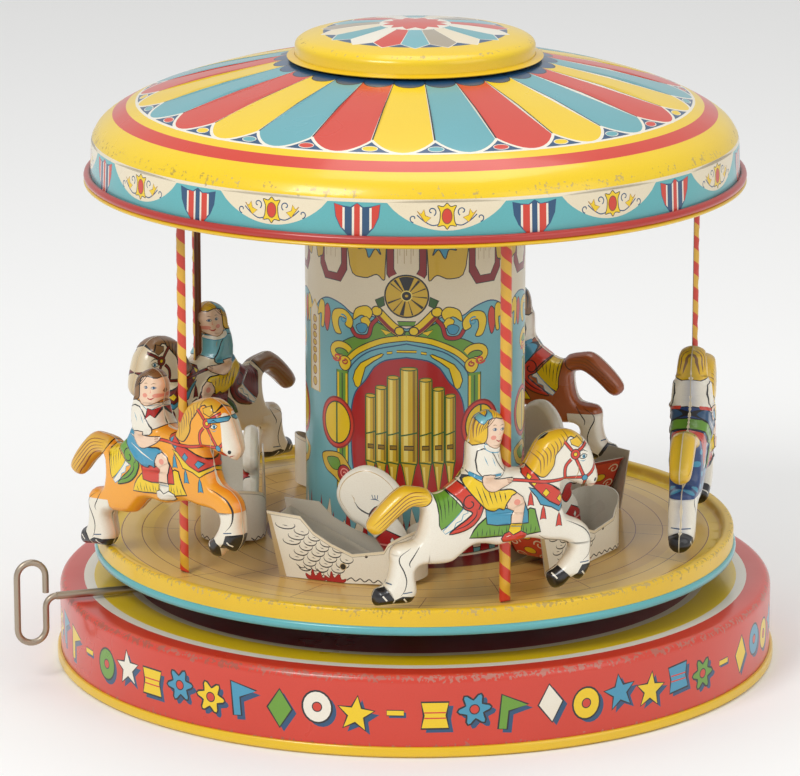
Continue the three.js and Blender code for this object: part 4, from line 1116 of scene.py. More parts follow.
# ---------- Canopy ----------
@dataclass
class Canopy:
    """Printed canopy: segmented roof, rounded shoulder, and a valance with swags and shields."""

    segments: int = 27
    swags: int = 12
    boundary: float = 4.2
    swag_angle: float = 5.3
    swag_width: float = 41.0
    swag_drop: float = 9.6
    shield_size: float = 1.1
    shape: Turned = field(init=False)

    def __post_init__(self) -> None:
        """Lays out the profile from the hem up the valance and over the roof."""
        roof = curve(path("117.3,195.6 114.5,199.8 108,204.2 98,208.9 80,214.6 60,219.4 44.5,222.7"), 3)
        self.shape = Turned([(118.3, 181), (118.1, 186), (117.9, 191), (117.75, 194), *roof, (43, 223),
                             (2.4, 223)], 118.0)

    def _roof(self, sheet: Print) -> None:
        """Prints the coloured segments with their scalloped ends."""
        at, band, end = self.shape.at, self.shape.band, self.shape.length
        r_cusp, r_foot, r_top = 92.5, 101.2, 47.0
        v_foot = at(0, radius=r_foot)[1]
        sheet.area(band(at(0, radius=110)[1], end), Ink.CORAL)
        sheet.area(band(at(0, radius=105)[1], end), Ink.YELLOW)
        sheet.area(band(v_foot - 0.4, end), Ink.WHITE)
        sheet.area(band(v_foot + 0.6, end), Ink.DARK_BLUE)
        colours = (Ink.YELLOW, Ink.SEGMENT_BLUE, Ink.CORAL)
        width = 360 / self.segments
        for i in range(-1, self.segments):
            middle = self.boundary + width * (i - self.segments // 2 + 0.5)
            for grow, ink in ((1.1, Ink.WHITE), (0.0, colours[i % 3])):
                half = width / 2 + math.degrees(grow * 0.5 / r_cusp)
                loop = []
                for k in range(13):
                    t = -1 + k / 6
                    r = r_cusp + (r_foot - 0.6 - r_cusp) * (1 - t * t) + grow
                    loop.append(at(middle + half * t, radius=r))
                loop += [at(middle + half, radius=r_top), at(middle - half, radius=r_top)]
                sheet.area(loop, ink)
        for i in range(self.segments):
            x, low = at(self.boundary + width * (i - self.segments // 2), radius=r_foot - 2.7)
            sheet.edged(ellipse(x, low, 3.3, 1.6), colours[i % 3], Ink.WHITE, 0.3)
        for i in range(self.segments):
            start = self.boundary + width * (i - self.segments // 2)
            sheet.line([at(start, radius=r_cusp + 0.4), at(start, radius=r_top)], Ink.BLACK, 0.75)
            x, low = at(start + width / 2, radius=46.6)
            sheet.edged(ellipse(x, low, math.radians(width / 2) * self.shape.radius, 5), Ink.DARK_BLUE,
                        width=0.5)

    def _valance(self, sheet: Print) -> None:
        """Prints the swags, their cartouches and the shields."""
        at, band = self.shape.at, self.shape.band
        top = at(0, height=195.1)[1]
        sheet.area(band(0, top), Ink.CREAM)
        sheet.area(band(0, top - 1.2), Ink.TURQUOISE)
        step = 360 / self.swags
        for i in range(self.swags):
            x = at(self.swag_angle + step * (i - self.swags // 2), height=190)[0]
            y = top - 1.25
            half = self.swag_width / 2
            swag = [(x + half * u, y - self.swag_drop * (1 - u * u) ** 0.85)
                    for u in (k / 10 - 1 for k in range(21))]
            sheet.area([(x - half, y + 0.2), *swag, (x + half, y + 0.2)], Ink.CREAM)
            cartouche = smooth(path(
                "0,4.2 -1.2,3.1 -3,3.4 -2.2,1.4 -2.4,-1.6 -3,-3.2 -1,-3 0,-4.2 1,-3 3,-3.2 2.4,-1.6 2.2,1.4 "
                "3,3.4 1.2,3.1"), 3)
            sheet.edged(moved(cartouche, x, y - 4.6, 1.08), Ink.YELLOW, Ink.BLACK, 0.3)
            sheet.edged(ellipse(x, y - 4.6, 1.7, 2.6), Ink.CORAL, Ink.FLOOR_LINE, 0.35)
            for flip in (False, True):
                for tendril in (spiral(-4.4, 1.6, 1.4, 0.3, -60, 0.9), spiral(-9.6, -0.4, 1.2, 0.3, -90,
                        -0.8), curve(path("-2.5,-2.2 -4.4,-2.4 -6.8,-1 -8.6,0.6"))):
                    sheet.line(moved(tendril, x, y - 4.8, 1.2, flip=flip), Ink.DARK_BLUE, 0.4)
                bud = path("-6.2,-1.6 -8.6,1.8 -7.4,0.9 -6.6,2.2 -6.2,0.4 -4.6,-0.2")
                sheet.edged(moved(bud, x, y - 4.8, 1.2, flip=flip), Ink.YELLOW, Ink.FLOOR_LINE, 0.25)
            self._shield(sheet, x + math.radians(step / 2) * self.shape.radius, y - 6.6, i)

    def _shield(self, sheet: Print, x: float, y: float, number: int) -> None:
        """Prints a striped shield."""
        outline = path(
            "0,5.6 -2,4.3 -4.6,4.6 -7.2,5.4 -6.7,1.4 -5.2,-1.8 -2.6,-4.6 0,-5.8 2.6,-4.6 5.2,-1.8 6.7,1.4 "
            "7.2,5.4 4.6,4.6 2,4.3")
        first, second = (Ink.DARK_BLUE, Ink.CORAL) if number % 2 == 0 else (Ink.CORAL, Ink.DARK_BLUE)
        sheet.edged(moved(outline, x, y, self.shield_size), Ink.WHITE, Ink.DARK_BLUE, 0.5)
        for k, (left, right) in enumerate(((-9, -4.6), (-3.9, -1.6), (-0.9, 0.9), (1.6, 3.9), (4.6, 9))):
            strip = moved(clipped(outline, left, right), x, y, self.shield_size)
            sheet.area(strip, first if k % 2 == 0 else second)

    def build(self) -> list[bpy.types.Object]:
        """Makes the canopy and its rolled hem."""
        end = self.shape.length
        sheet = Print(self.shape.band(0, end), Ink.YELLOW)
        self._roof(sheet)
        self._valance(sheet)
        shoulder = self.shape.at(0, height=197)[1]

        def rub(flat: np.ndarray) -> np.ndarray:
            """Wears the shoulder and the crown's edge."""
            crown = self.shape.at(0, radius=50)[1]
            return 0.75 * ridge(flat, shoulder, 4) + 0.5 * ridge(flat, crown, 3)

        rows = np.concatenate([[3, 6, 9], np.linspace(40, end - 8, 12)])
        roof = Pressing("canopy_print", sheet, self.shape.grid(162, rows), self.shape, back=Ink.BARE,
                        rub=rub).build()
        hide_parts("canopy")
        red = clean(spun(bead(119.35, 181.1, 1.4, 1.5)), "canopy_red_bead", PRINTED, Ink.BEAD_RED)
        yellow = clean(spun(bead(119.2, 179.1, 1.5, 0.8)), "canopy_hem", PRINTED, Ink.RIM_YELLOW)
        return [roof, red, yellow]


def clipped(loop: Sequence[Point], left: float, right: float) -> list[Point]:
    """Returns the part of a loop between two upright lines."""
    for limit, keep in ((left, 1), (right, -1)):
        made: list[Point] = []
        for (ax, ay), (bx, by) in zip(loop, [*loop[1:], loop[0]]):
            if (ax - limit) * keep >= 0:
                made.append((ax, ay))
            if (ax - limit) * (bx - limit) < 0:
                t = (limit - ax) / (bx - ax)
                made.append((limit, ay + t * (by - ay)))
        loop = made
    return list(loop)


@dataclass
class Cap:
    """Small printed cap over the canopy's crown."""

    radius: float = 43.7
    foot: float = 223.9
    wall: float = 229.6
    apex: float = 235.8
    kites: int = 18
    shape: Turned = field(init=False)

    def __post_init__(self) -> None:
        """Lays out the profile from the foot up and over the dome."""
        r = self.radius
        profile = [(r, self.foot), (r, self.wall - 0.6), (r - 2.6, self.wall + 1.2),
                   (r * 0.84, self.wall + 2.3), (r * 0.5, self.apex - 1.5), (r * 0.25, self.apex - 0.4),
                   (0, self.apex)]
        self.shape = Turned(rounded(profile, 3.0, 5), r)

    def build(self) -> list[bpy.types.Object]:
        """Makes the cap."""
        at, band, end = self.shape.at, self.shape.band, self.shape.length
        sheet = Print(band(0, end), Ink.YELLOW)
        sheet.area(band(at(0, radius=33.4)[1], end), Ink.DARK_BLUE)
        colours = (Ink.SEGMENT_BLUE, Ink.WHITE, Ink.CORAL, Ink.SKY, Ink.GREY, Ink.CREAM)
        step = 360 / self.kites
        for i in range(self.kites + 1):
            a = -180 + step * i
            sheet.edged([at(a - step / 2, radius=30), at(a, radius=34.5), at(a + step / 2, radius=30),
                         at(a + step / 2, radius=14), at(a, radius=10), at(a - step / 2, radius=14)],
                        colours[i % 6], Ink.WHITE, 0.5)
        sheet.area(band(at(0, radius=13)[1], end), Ink.WHITE)
        rim = [at(a, radius=12.2 if k % 2 else 9.0) for k, a in enumerate(np.linspace(-180, 180, 25))]
        sheet.area([*rim, (self.shape.width, end), (0, end)], Ink.CORAL)

        def rub(flat: np.ndarray) -> np.ndarray:
            """Wears the wall's rounded top."""
            return 0.7 * ridge(flat, 7, 2.5)

        rows = np.linspace(1, end - 1, 24)
        cap = Pressing("cap_print", sheet, self.shape.grid(96, rows), self.shape, rub=rub).build()
        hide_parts("top_cap")
        flange = clean(spun(path("43.7,223.9 46.4,223.5 46.6,223.8 43.8,224.6")), "cap_flange", PRINTED,
            Ink.RIM_YELLOW)
        return [cap, flange]


# ---------- Poles ----------
def station(angle: float) -> Callable[[np.ndarray], np.ndarray]:
    """Returns the move of rows of points from the front to an angle round the spindle."""
    a = math.radians(angle)
    spin = np.array([[math.cos(a), math.sin(a), 0], [-math.sin(a), math.cos(a), 0], [0, 0, 1]])
    return lambda points: points @ spin


@dataclass
class Pole:
    """Half-round tin pole with a slanting stripe."""

    number: int
    radius: float = 2.05
    foot: float = 46.3
    top: float = 203.6
    distance: float = 101.975
    pitch: float = 9.6
    slope: float = 0.75

    @property
    def angle(self) -> float:
        """Angle of the pole round the spindle."""
        return FIRST_HORSE + RIDE_STEP * (self.number - 1)

    def build(self) -> bpy.types.Object:
        """Makes the pole."""
        width, length = math.pi * self.radius, self.top - self.foot
        sheet = Print(box(0, 0, width, length), Ink.OCHRE)
        across = np.linspace(-0.5, width + 0.5, 13)
        for k in range(-1, int(length / self.pitch) + 2):
            low = k * self.pitch
            edge = [(x, low + self.slope * (1 - x)) for x in across]
            sheet.area([*edge, *[(x, y + self.pitch * 0.5) for x, y in reversed(edge)]], Ink.CORAL)
        turn = station(self.angle)

        def bend(flat: np.ndarray) -> np.ndarray:
            """Rolls the strip into a half-round channel."""
            a = flat[:, 0] / self.radius - math.pi / 2
            x, y = self.radius * np.sin(a), -self.distance - self.radius * np.cos(a)
            return turn(np.stack([x, y, self.foot + flat[:, 1]], 1))

        inner = lattice(np.linspace(0.01, width - 0.01, 12), np.linspace(1, length - 1, 24))
        pole = Pressing(f"pole_{self.number}_print", sheet, inner, bend, thickness=0.55,
                        back=Ink.FLOOR_LINE, finish=PRINTED_SATIN).build()
        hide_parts(f"pole_{self.number}")
        return pole


# ---------- Pressed figures ----------
class Bulge:
    """Height of a pressing over its flat outline, as if the sheet were blown up inside it."""

    step = 0.5
    margin = 3.0
    edge_round = 2.4
    rounds = 1500

    def __init__(self, outline: Sequence[Point], depth: float,
                 raised: Sequence[tuple[Sequence[Point], float]] = (), fullness: float = 1.25) -> None:
        """Solves the height once.

        Args:
            outline: Edge of the pressing, where its height is nothing.
            depth: Height that broad parts reach.
            raised: Loops that stand up, or sink if negative, by a height.
            fullness: How soon the height levels out.
        """
        loop = np.array(outline, float)
        self.low = loop.min(0) - self.margin
        count = np.ceil((loop.max(0) + self.margin - self.low) / self.step).astype(int)
        grid = lattice(self.low[0] + self.step * np.arange(count[0]),
                       self.low[1] + self.step * np.arange(count[1]))
        self.edge = self._distance(grid, loop).reshape(count[1], count[0])
        inside = self.edge > -2 * self.step
        level = np.zeros(inside.shape)
        push = self.step**2 / 4
        for _ in range(self.rounds):
            level = np.where(inside, self._around(level) + push, 0)
        height = depth * (1 - np.exp(-fullness * np.sqrt(2 * level) / depth))
        for area, rise in raised:
            mask = covered(grid, np.array(area, float)).reshape(inside.shape).astype(float)
            for _ in range(2):
                mask = (mask + 2 * self._around(mask)) / 3
            height += rise * mask * np.clip(height / 2.5, 0, 1)
        self.height = height

    @staticmethod
    def _around(field_values: np.ndarray) -> np.ndarray:
        """Returns the mean of each cell's four neighbours."""
        return (np.roll(field_values, 1, 0) + np.roll(field_values, -1, 0) + np.roll(field_values, 1, 1)
                + np.roll(field_values, -1, 1)) / 4

    @staticmethod
    def _distance(points: np.ndarray, loop: np.ndarray) -> np.ndarray:
        """Returns each point's distance inside the loop, less than nothing outside it."""
        best = np.full(len(points), np.inf)
        for a, b in zip(loop, np.roll(loop, -1, 0)):
            along = b - a
            t = np.clip((points - a) @ along / (along @ along + TINY), 0, 1)
            best = np.minimum(best, np.linalg.norm(points - a - t[:, None] * along, axis=1))
        return np.where(covered(points, loop), best, -best)

    def __call__(self, flat: np.ndarray) -> np.ndarray:
        """Returns the height at points of the flat sheet."""
        place = (flat - self.low) / self.step
        cell = np.clip(place.astype(int), 0, np.array(self.height.shape[::-1]) - 2)
        t = np.clip(place - cell, 0, 1)
        i, j = cell[:, 1], cell[:, 0]
        found = []
        for values in (self.height, self.edge):
            low = values[i, j] * (1 - t[:, 0]) + values[i, j + 1] * t[:, 0]
            high = values[i + 1, j] * (1 - t[:, 0]) + values[i + 1, j + 1] * t[:, 0]
            found.append(low * (1 - t[:, 1]) + high * t[:, 1])
        inward = 1 - np.clip(found[1] / self.edge_round, 0, 1)
        return found[0] * np.sqrt(1 - inward**2)


@dataclass(frozen=True)
class Livery:
    """Inks of one horse and its rider."""

    coat: Ink = Ink.WHITE
    shade: tuple[float, float, float] = (0.74, 0.58, 0.38)
    mane: Ink = Ink.HAIR
    strand: Ink = Ink.BROWN
    tail: Ink = Ink.HAIR
    legs: Ink = Ink.WHITE
    strap: Ink = Ink.CORAL
    edge: Ink = Ink.BLUE
    diamond: Ink = Ink.YELLOW
    tassel: Ink = Ink.CORAL
    blanket: Ink = Ink.GREEN
    cantle: Ink = Ink.CORAL
    cloth: Ink = Ink.GREEN
    flap: Ink = Ink.BLUE
    hair: Ink = Ink.HAIR
    blouse: Ink = Ink.WHITE
    trim: Ink = Ink.BLUE
    skirt: Ink = Ink.YELLOW
    sock: Ink = Ink.YELLOW
    shoe: Ink = Ink.CORAL
    boy: bool = False
    spots: Ink | None = None


WHITE_HORSE = Livery()
NIGHT_HORSE = Livery(coat=Ink.NIGHT, shade=(0.45, 0.5, 0.7), mane=Ink.HAIR, strap=Ink.YELLOW,
                     diamond=Ink.CORAL, blanket=Ink.CORAL, cloth=Ink.CORAL, flap=Ink.YELLOW,
                     skirt=Ink.DARK_BLUE, spots=Ink.BLUE, cantle=Ink.GREEN, tassel=Ink.YELLOW,
                     trim=Ink.CORAL, sock=Ink.WHITE, shoe=Ink.BLACK, boy=True)
BAY_HORSE = Livery(coat=Ink.BAY, shade=(0.5, 0.3, 0.2), mane=Ink.BLACK, strand=Ink.BAY, tail=Ink.BAY,
                   cloth=Ink.YELLOW, flap=Ink.GREEN, blanket=Ink.YELLOW, hair=Ink.BROWN, skirt=Ink.BLUE,
                   edge=Ink.YELLOW, tassel=Ink.YELLOW)
CREAM_HORSE = Livery(coat=Ink.CREAM, mane=Ink.BROWN, strand=Ink.BLACK, tail=Ink.BROWN, strap=Ink.DARK_RED,
                     cloth=Ink.DARK_GREEN, flap=Ink.DARK_RED, blouse=Ink.SKY, blanket=Ink.DARK_RED,
                     cantle=Ink.DARK_RED, tassel=Ink.DARK_RED)
PALOMINO_HORSE = Livery(coat=Ink.PALOMINO, shade=(0.86, 0.42, 0.16), mane=Ink.OCHRE, tail=Ink.OCHRE,
                        cloth=Ink.YELLOW, flap=Ink.CORAL, hair=Ink.BROWN, skirt=Ink.BLUE, blanket=Ink.YELLOW,
                        cantle=Ink.GREEN, edge=Ink.YELLOW, diamond=Ink.BLUE, tassel=Ink.BLUE, trim=Ink.BLUE,
                        sock=Ink.WHITE, shoe=Ink.WHITE, boy=True)


@dataclass
class Horse:
    """A galloping horse with a child in the saddle, pressed as two printed halves round the pole."""

    number: int
    livery: Livery
    slot: str
    turn: float = 0
    tilt: float = 0
    lift: float = 0
    depth: float = 7.6
    seam: float = 0.18
    distance: float = 103
    floor: float = FLOOR_HEIGHT

    OUTLINE = path(
        "-27.2,42.3 -29.4,44.2 -34.2,45.4 -39.3,45.4 -46.2,39.8 -51.3,33.4 -49.6,29.8 -46.2,29.5 -41.1,34.1 "
        "-35.8,37.9 -33.2,38.1 -31.4,36.8 -32,30.5 -34.3,26.1 -40.7,24.9 -42.8,22.2 -42.8,17.6 -43.7,13 "
        "-45.4,10.3 -48.3,9.4 -49.5,6.1 -48.3,3.6 -45.4,3.6 -41.9,3.7 -39.6,3.6 -36,3.6 -34.3,5.2 -33.1,8 "
        "-34,15 -31.4,17.1 -26.1,16.9 -20.8,17.3 -17.3,19.9 -13.2,22.8 -8.5,22.9 -3.7,21.9 2.1,22.9 "
        "8.1,23.5 14,22.1 20,21.3 23,19.6 22.7,16.9 20,13.1 17.7,11.2 15,9.4 15.9,5.9 18,3.9 21,4.8 "
        "23.7,7.5 26.7,6.4 29,8.2 31.1,11.8 31.1,15.6 31.3,21.4 30.4,25 27.1,28.2 22.3,30.4 20.5,33.4 "
        "19.8,39.3 20.1,43.9 27.5,41.1 28.6,41.8 31.3,39.9 33.7,43.1 32.6,48.4 30.3,55.4 26.7,59.5 "
        "22.3,61.6 16.2,61.2 11.8,58.7 8.8,53.7 6.6,49.7 4.9,49 0.5,49.7 -2.1,52.1 -3,58.1 -2.5,59 "
        "-0.9,65.1 -2.6,68.9 -6.4,70.8 -11.4,69 -13.3,65.4 -13.9,60.5 -14.9,58.8 -15.1,51.4 -16.7,48.4 "
        "-18.6,46.2 -23.7,42.9")
    MANE = path(
        "6.8,50.3 8.7,55.6 11.5,58.6 16.1,61.5 19.6,62 24.7,61.2 27,59.1 26.3,57.4 22.2,60 19.9,58.3 "
        "18.1,56.1 16.1,53.8 15.4,50.3 12.9,47.1 11.2,46.5 9.3,47.4")
    TAIL = path(
        "-28.6,42.5 -30,45.5 -36.2,46.5 -41.5,45.5 -46.5,41 -52,35 -52.5,31 -49.7,28.7 -45.8,29 -42,32.5 "
        "-38.2,36 -35.2,38 -32.7,38.4 -29.9,40")
    BREAST = path(
        "3.9,48.2 6.5,50 7.6,49 10.6,45.3 14.7,43.4 20,39.5 20.2,37 17.5,35.6 13.7,37.7 10.9,40.1 8.6,42.5 "
        "6.5,44.6 4.9,46.8")
    BREAST_EDGE = path(
        "6,43.3 8.6,42.5 10.9,40.1 13.7,37.7 17.5,35.6 20.2,37 20.2,35.4 17.6,33.5 14.7,35.4 10.5,36.7 "
        "9.1,39.4 7.2,41.7")
    CLOTH = path(
        "-15.6,26.7 -14.1,29.5 -12.6,31.4 -8.8,34.5 -0.5,34.8 4.1,34.4 6.6,35.9 8.4,35.3 8.9,33 9.9,29.4 "
        "10.8,26.7 5.6,26.2 -4,26.5 -10.6,26.4")
    BLANKET = path(
        "-27.7,43.1 -23.7,44.2 -18.1,37.8 -19.6,35.4 -23.7,31.8 -25.9,30.5 -26.6,32.1 -26.7,36.1")
    CANTLE = path(
        "-23.4,44.7 -19.2,46.9 -14.6,42.4 -12.1,41 -10.8,37.7 -11.8,34.3 -14.1,31.5 -17.6,29.6 -23.1,28.7 "
        "-20.1,31.5 -16.9,33.7 -14.8,36 -17.6,37.5 -18.6,39.8 -20.7,42")
    FLAP = path("-10,36.9 -0.3,36.5 4.5,38.4 5.8,34.8 5.9,30.6 -1,30.7 -5.6,30.6 -9.4,31.4")
    SKIRT = path(
        "-16.6,48.2 -13.1,48.8 -8.7,44.9 -4.6,43.4 -0.6,43.3 1.5,41.8 -0.5,40.8 -2.3,38.4 -3.1,36.1 "
        "-5.1,36.8 -6.6,35.9 -9.1,36.5 -10.6,37.6 -13.1,40.3 -17.2,45.6")
    BLOUSE = path(
        "-15.6,60.8 -10.7,60.6 -7.7,59.2 0,58.6 0.5,56 0.2,52.4 -2.4,50 -6.1,49.2 -9.5,46.5 -13.1,47.8 "
        "-15.9,50.6 -15.9,54.8")
    ARM = path(
        "-10.9,49.3 -6.6,49.1 -7.1,47.8 -4.6,47.3 0.2,47.4 -0.3,45.8 -3.1,44.3 -6.6,43.1 -9.2,43.5 "
        "-11.2,46.1")
    SLEEVE = path("-12.8,57.8 -8.2,58 -5.6,53.5 -4.1,51.2 -3.1,49.9 -4.6,47.8 -9.6,48.2 -13,50.8")
    FACE = path(
        "-7.7,68.8 -5.2,69.3 -2,68.6 -0.6,66.1 -1.2,63.1 -1.8,60.2 -4.2,58.5 -6.7,58.4 -9.2,60.2 -9.6,63.7 "
        "-9,67.1")
    HAIR = path(
        "-14.5,60 -14,68.5 -11.2,71.6 -5.2,71.9 -1.5,69.6 -2.3,67.8 -5.2,68.7 -7.7,68.2 -8.6,66 -8.8,62.7 "
        "-9.6,60.7 -12,60.2")
    LEG = path(
        "-2.3,38.3 -0.5,41.2 1.5,42 3.8,40.2 4.6,37.4 3.8,34 3.3,30 -0.9,30.4 -0.7,33.8 0.2,35.6 -2,36.5")
    SHOE = path("-3.9,25.4 -3,27.5 -1.2,28.1 0.3,26.7 3.1,28 5.4,26.7 5.1,24.8 2.6,24 -0.5,23.9 -3,24.1")
    HOOVES = (path("14,10 15.7,12.9 18.5,13 20,11.3 22.9,8.5 21.1,5.3 18.5,3.2 15,5"), path(
        "22.6,8.1 25.2,10 26.8,12.9 31.6,12.9 29.9,9.2 27.3,5.8 23.6,6.8"), path(
        "-50.2,8 -48.3,10.2 -45.2,10.6 -42.5,6.2 -42.9,3 -47.8,2.8 -50.2,4.7"), path(
        "-42.3,3 -42.2,6.1 -39.7,7.2 -33.4,6.2 -34.2,3 -40.7,2.6"))
    FOLDS = (path("10.2,25.4 13.3,23.4 17.9,22.5 21.5,21.4 22.6,19.8 21.6,17.4"), path(
        "20.6,29.7 25,27.6 28.1,25.6 29.9,22.9 30.2,20.1 29.4,16.7 26.9,14.4"), path(
        "-36.5,24.2 -40.2,21.9 -40.7,19.4 -39.2,16.3 -38.2,12.7 -38.9,9.3 -40.4,7.3"), path(
        "-33.2,25.2 -35.7,21.5 -37.2,19.1 -36.8,17.6"))

    @property
    def angle(self) -> float:
        """Angle of the horse round the spindle."""
        return FIRST_HORSE + RIDE_STEP * (self.number - 1)

    def artwork(self, outline: Sequence[Point]) -> Print:
        """Returns the printed sheet of the outer half."""
        ink = self.livery
        sheet = Print(outline, ink.coat)
        if ink.spots:
            for s, h in scattered(outline, 4.6):
                sheet.area(ellipse(s, h, 1.35, 1.1, sides=9), ink.spots)
        for x, low, high in ((-50, 2.5, 22), (12.5, 2.5, 21)):
            sheet.area(box(x, low, x + 20, high), ink.legs)
        sheet.edged(smooth(self.TAIL), ink.tail)
        for k in range(5):
            strand = curve([(-30.5, 43.6 - 0.9 * k), (-37, 43.8 - 1.3 * k), (-43.5, 38.9 - 1.5 * k),
                             (-50 + 0.8 * k, 33 - 0.8 * k)], 5)
            sheet.line(strand, Ink.FLOOR_LINE, 0.35, taper=True)
        for fold in self.FOLDS:
            sheet.line(curve(fold, 3), Ink.BLACK, 0.45, taper=True)
        for hoof in self.HOOVES:
            sheet.area(hoof, Ink.BLACK)
        # White slashes on the black hooves: painted highlights.
        for x, h in ((17, 9), (27.5, 9.4), (-46, 6.6), (-38.5, 5.2)):
            sheet.line([(x - 0.6, h + 1.1), (x + 0.9, h - 0.7)], Ink.WHITE, 0.55)
        for x, h in ((17.2, 13.8), (27.6, 13.8), (-45, 11.4), (-37.8, 8.3)):
            sheet.line([(x - 1.6, h), (x + 1.8, h + 0.2)], Ink.DARK_BLUE, 0.4)
        self._saddle(sheet)
        self._head(sheet)
        self._rider(sheet)
        return sheet

    def _saddle(self, sheet: Print) -> None:
        """Prints the saddle, its cloths and the breast strap."""
        ink = self.livery
        sheet.edged(self.BLANKET, ink.blanket)
        for k in range(5):
            sheet.line([(-26.3 + 1.6 * k, 42.2), (-25.6 + 1.2 * k, 33 + 1.2 * k)], Ink.BLACK, 0.3, taper=True)
        sheet.edged(path(
            "-17.4,38.2 -16.2,36 -18,35.4 -18.6,33.4 -20.6,32.6 -21.4,30.6 -24.4,28.9 -25.4,30 -21.6,33.6 "
            "-19.6,35.6"), Ink.WHITE, Ink.BLUE, 0.3)
        sheet.edged(self.CLOTH, ink.cloth, width=0.5)
        for k in range(15):
            x = -12.6 + 1.5 * k
            sheet.line([(x, 26.6), (x + 0.3 * (k % 3 - 1), 29.2 + (k % 2))], Ink.BLACK, 0.3, taper=True)
        sheet.edged(self.FLAP, ink.flap, width=0.45)
        sheet.edged(smooth(self.CANTLE, 3), ink.cantle, width=0.5)
        sheet.line(spiral(-15.6, 39.5, 3.9, 0.6, -40, 1.3), Ink.BLACK, 0.45)
        sheet.line(curve(path("-21.6,30.2 -17,31.7 -13.6,34.6 -13.2,37.4")), Ink.BLACK, 0.5, taper=True)
        sheet.edged(self.BREAST_EDGE, ink.edge, width=0.4)
        sheet.edged(self.BREAST, ink.strap, width=0.45)
        for x, y, size in ((6.2, 47.1, 0.95), (8.0, 44.8, 1.0), (12.4, 40.9, 1.35), (17.8, 38.4, 1.25)):
            sheet.edged(moved(diamond(1.05, 1.15), x, y, size), ink.diamond, width=0.3)
        for top, foot in (((6.4, 41.2), (7.2, 36.8)), ((10.9, 36.3), (12.2, 30.9)),
                          ((17.3, 33.4), (17.9, 27.6))):
            middle = ((top[0] + foot[0]) / 2, (top[1] + foot[1]) / 2)
            drop = moved(path("0,2.9 0.6,1.3 1.2,-2.6 0,-2.1 -1.2,-2.6 -0.6,1.3"), *middle, 0.95)
            sheet.edged(drop, ink.tassel, width=0.3)

    def _head(self, sheet: Print) -> None:
        """Prints the mane, the bridle and the horse's face."""
        ink = self.livery
        sheet.edged(smooth(self.MANE, 3), ink.mane, width=0.4)
        for k in range(9):
            sheet.line(curve([(8.6 + 1.45 * k, 54.6 + 0.9 * k), (10.4 + 1.3 * k, 52.4 + 0.9 * k),
                               (10.4 + 1.2 * k, 47.8 + 1.25 * k)]), ink.strand, 0.42, taper=True)
        sheet.edged(path("21.7,58.8 24.7,59.8 26.5,57.4 24.8,56 22.2,57.2"), ink.mane, width=0.3)
        rein = curve(path("-0.6,46.6 6,45.7 13.6,44.8 20.8,45.2 26.6,45"), 5)
        straps = (rein, [(19.5, 58.5), (22.6, 54.7)], [(28.3, 57.1), (24.4, 54.6)], [(23.6, 52.4), (26.9,
            45.4)], curve(path("22,52 20.1,50 19.6,47.5 20,44.5"), 3), curve(path(
            "27.2,44.6 29.9,46.6 31.9,50"), 3), path("27.5,44 28.2,41.6 29.3,40.6"))
        for strap in straps:
            sheet.line(strap, Ink.BLACK, 1.35)
        for strap in straps:
            sheet.line(strap, ink.strap, 0.8)
        sheet.edged(ellipse(23.6, 53.6, 1.8, 1.8), ink.strap, width=0.3)
        sheet.edged(ellipse(23.6, 53.6, 0.75, 0.75, sides=10), Ink.YELLOW, width=0.25)
        sheet.edged(ellipse(27.4, 44.7, 1.1, 1.1, sides=12), Ink.BLUE, width=0.3)
        if ink.coat is Ink.PALOMINO:
            sheet.area(smooth(path("28.6,57 30.8,54.5 33.4,47.6 34,43 31.3,39.6 29,41.6 29.4,45 29.6,51")),
                Ink.WHITE)
            sheet.edged(path("23.8,55.3 30.2,55.9 30.5,54.3 24.2,53.7"), Ink.BLUE, width=0.35)
        sheet.edged(smooth(path("25.2,52.2 26.4,53.5 28.1,52.9 27,51.8"), 2), Ink.WHITE, width=0.3)
        sheet.area(ellipse(26.8, 52.6, 0.65, 0.65, sides=10), Ink.BLUE)
        sheet.area(ellipse(26.9, 52.6, 0.32, 0.36, sides=8), Ink.BLACK)
        sheet.line(path("24.9,54.2 26.6,54.9 28.5,54"), Ink.BLACK, 0.4, taper=True)
        sheet.line(path("25.2,51.3 26.6,50.9 27.8,51.4"), Ink.BLUE, 0.35, taper=True)
        sheet.area(ellipse(31.7, 43.4, 0.55, 0.8, -20, 10), Ink.BLACK)
        sheet.line(path("29.7,41.6 31.2,41.6 32.6,42"), Ink.ORGAN_RED, 0.45, taper=True)
        sheet.line(path("24.6,50 24.9,47.2 23.4,44"), Ink.TAN, 0.4, taper=True)

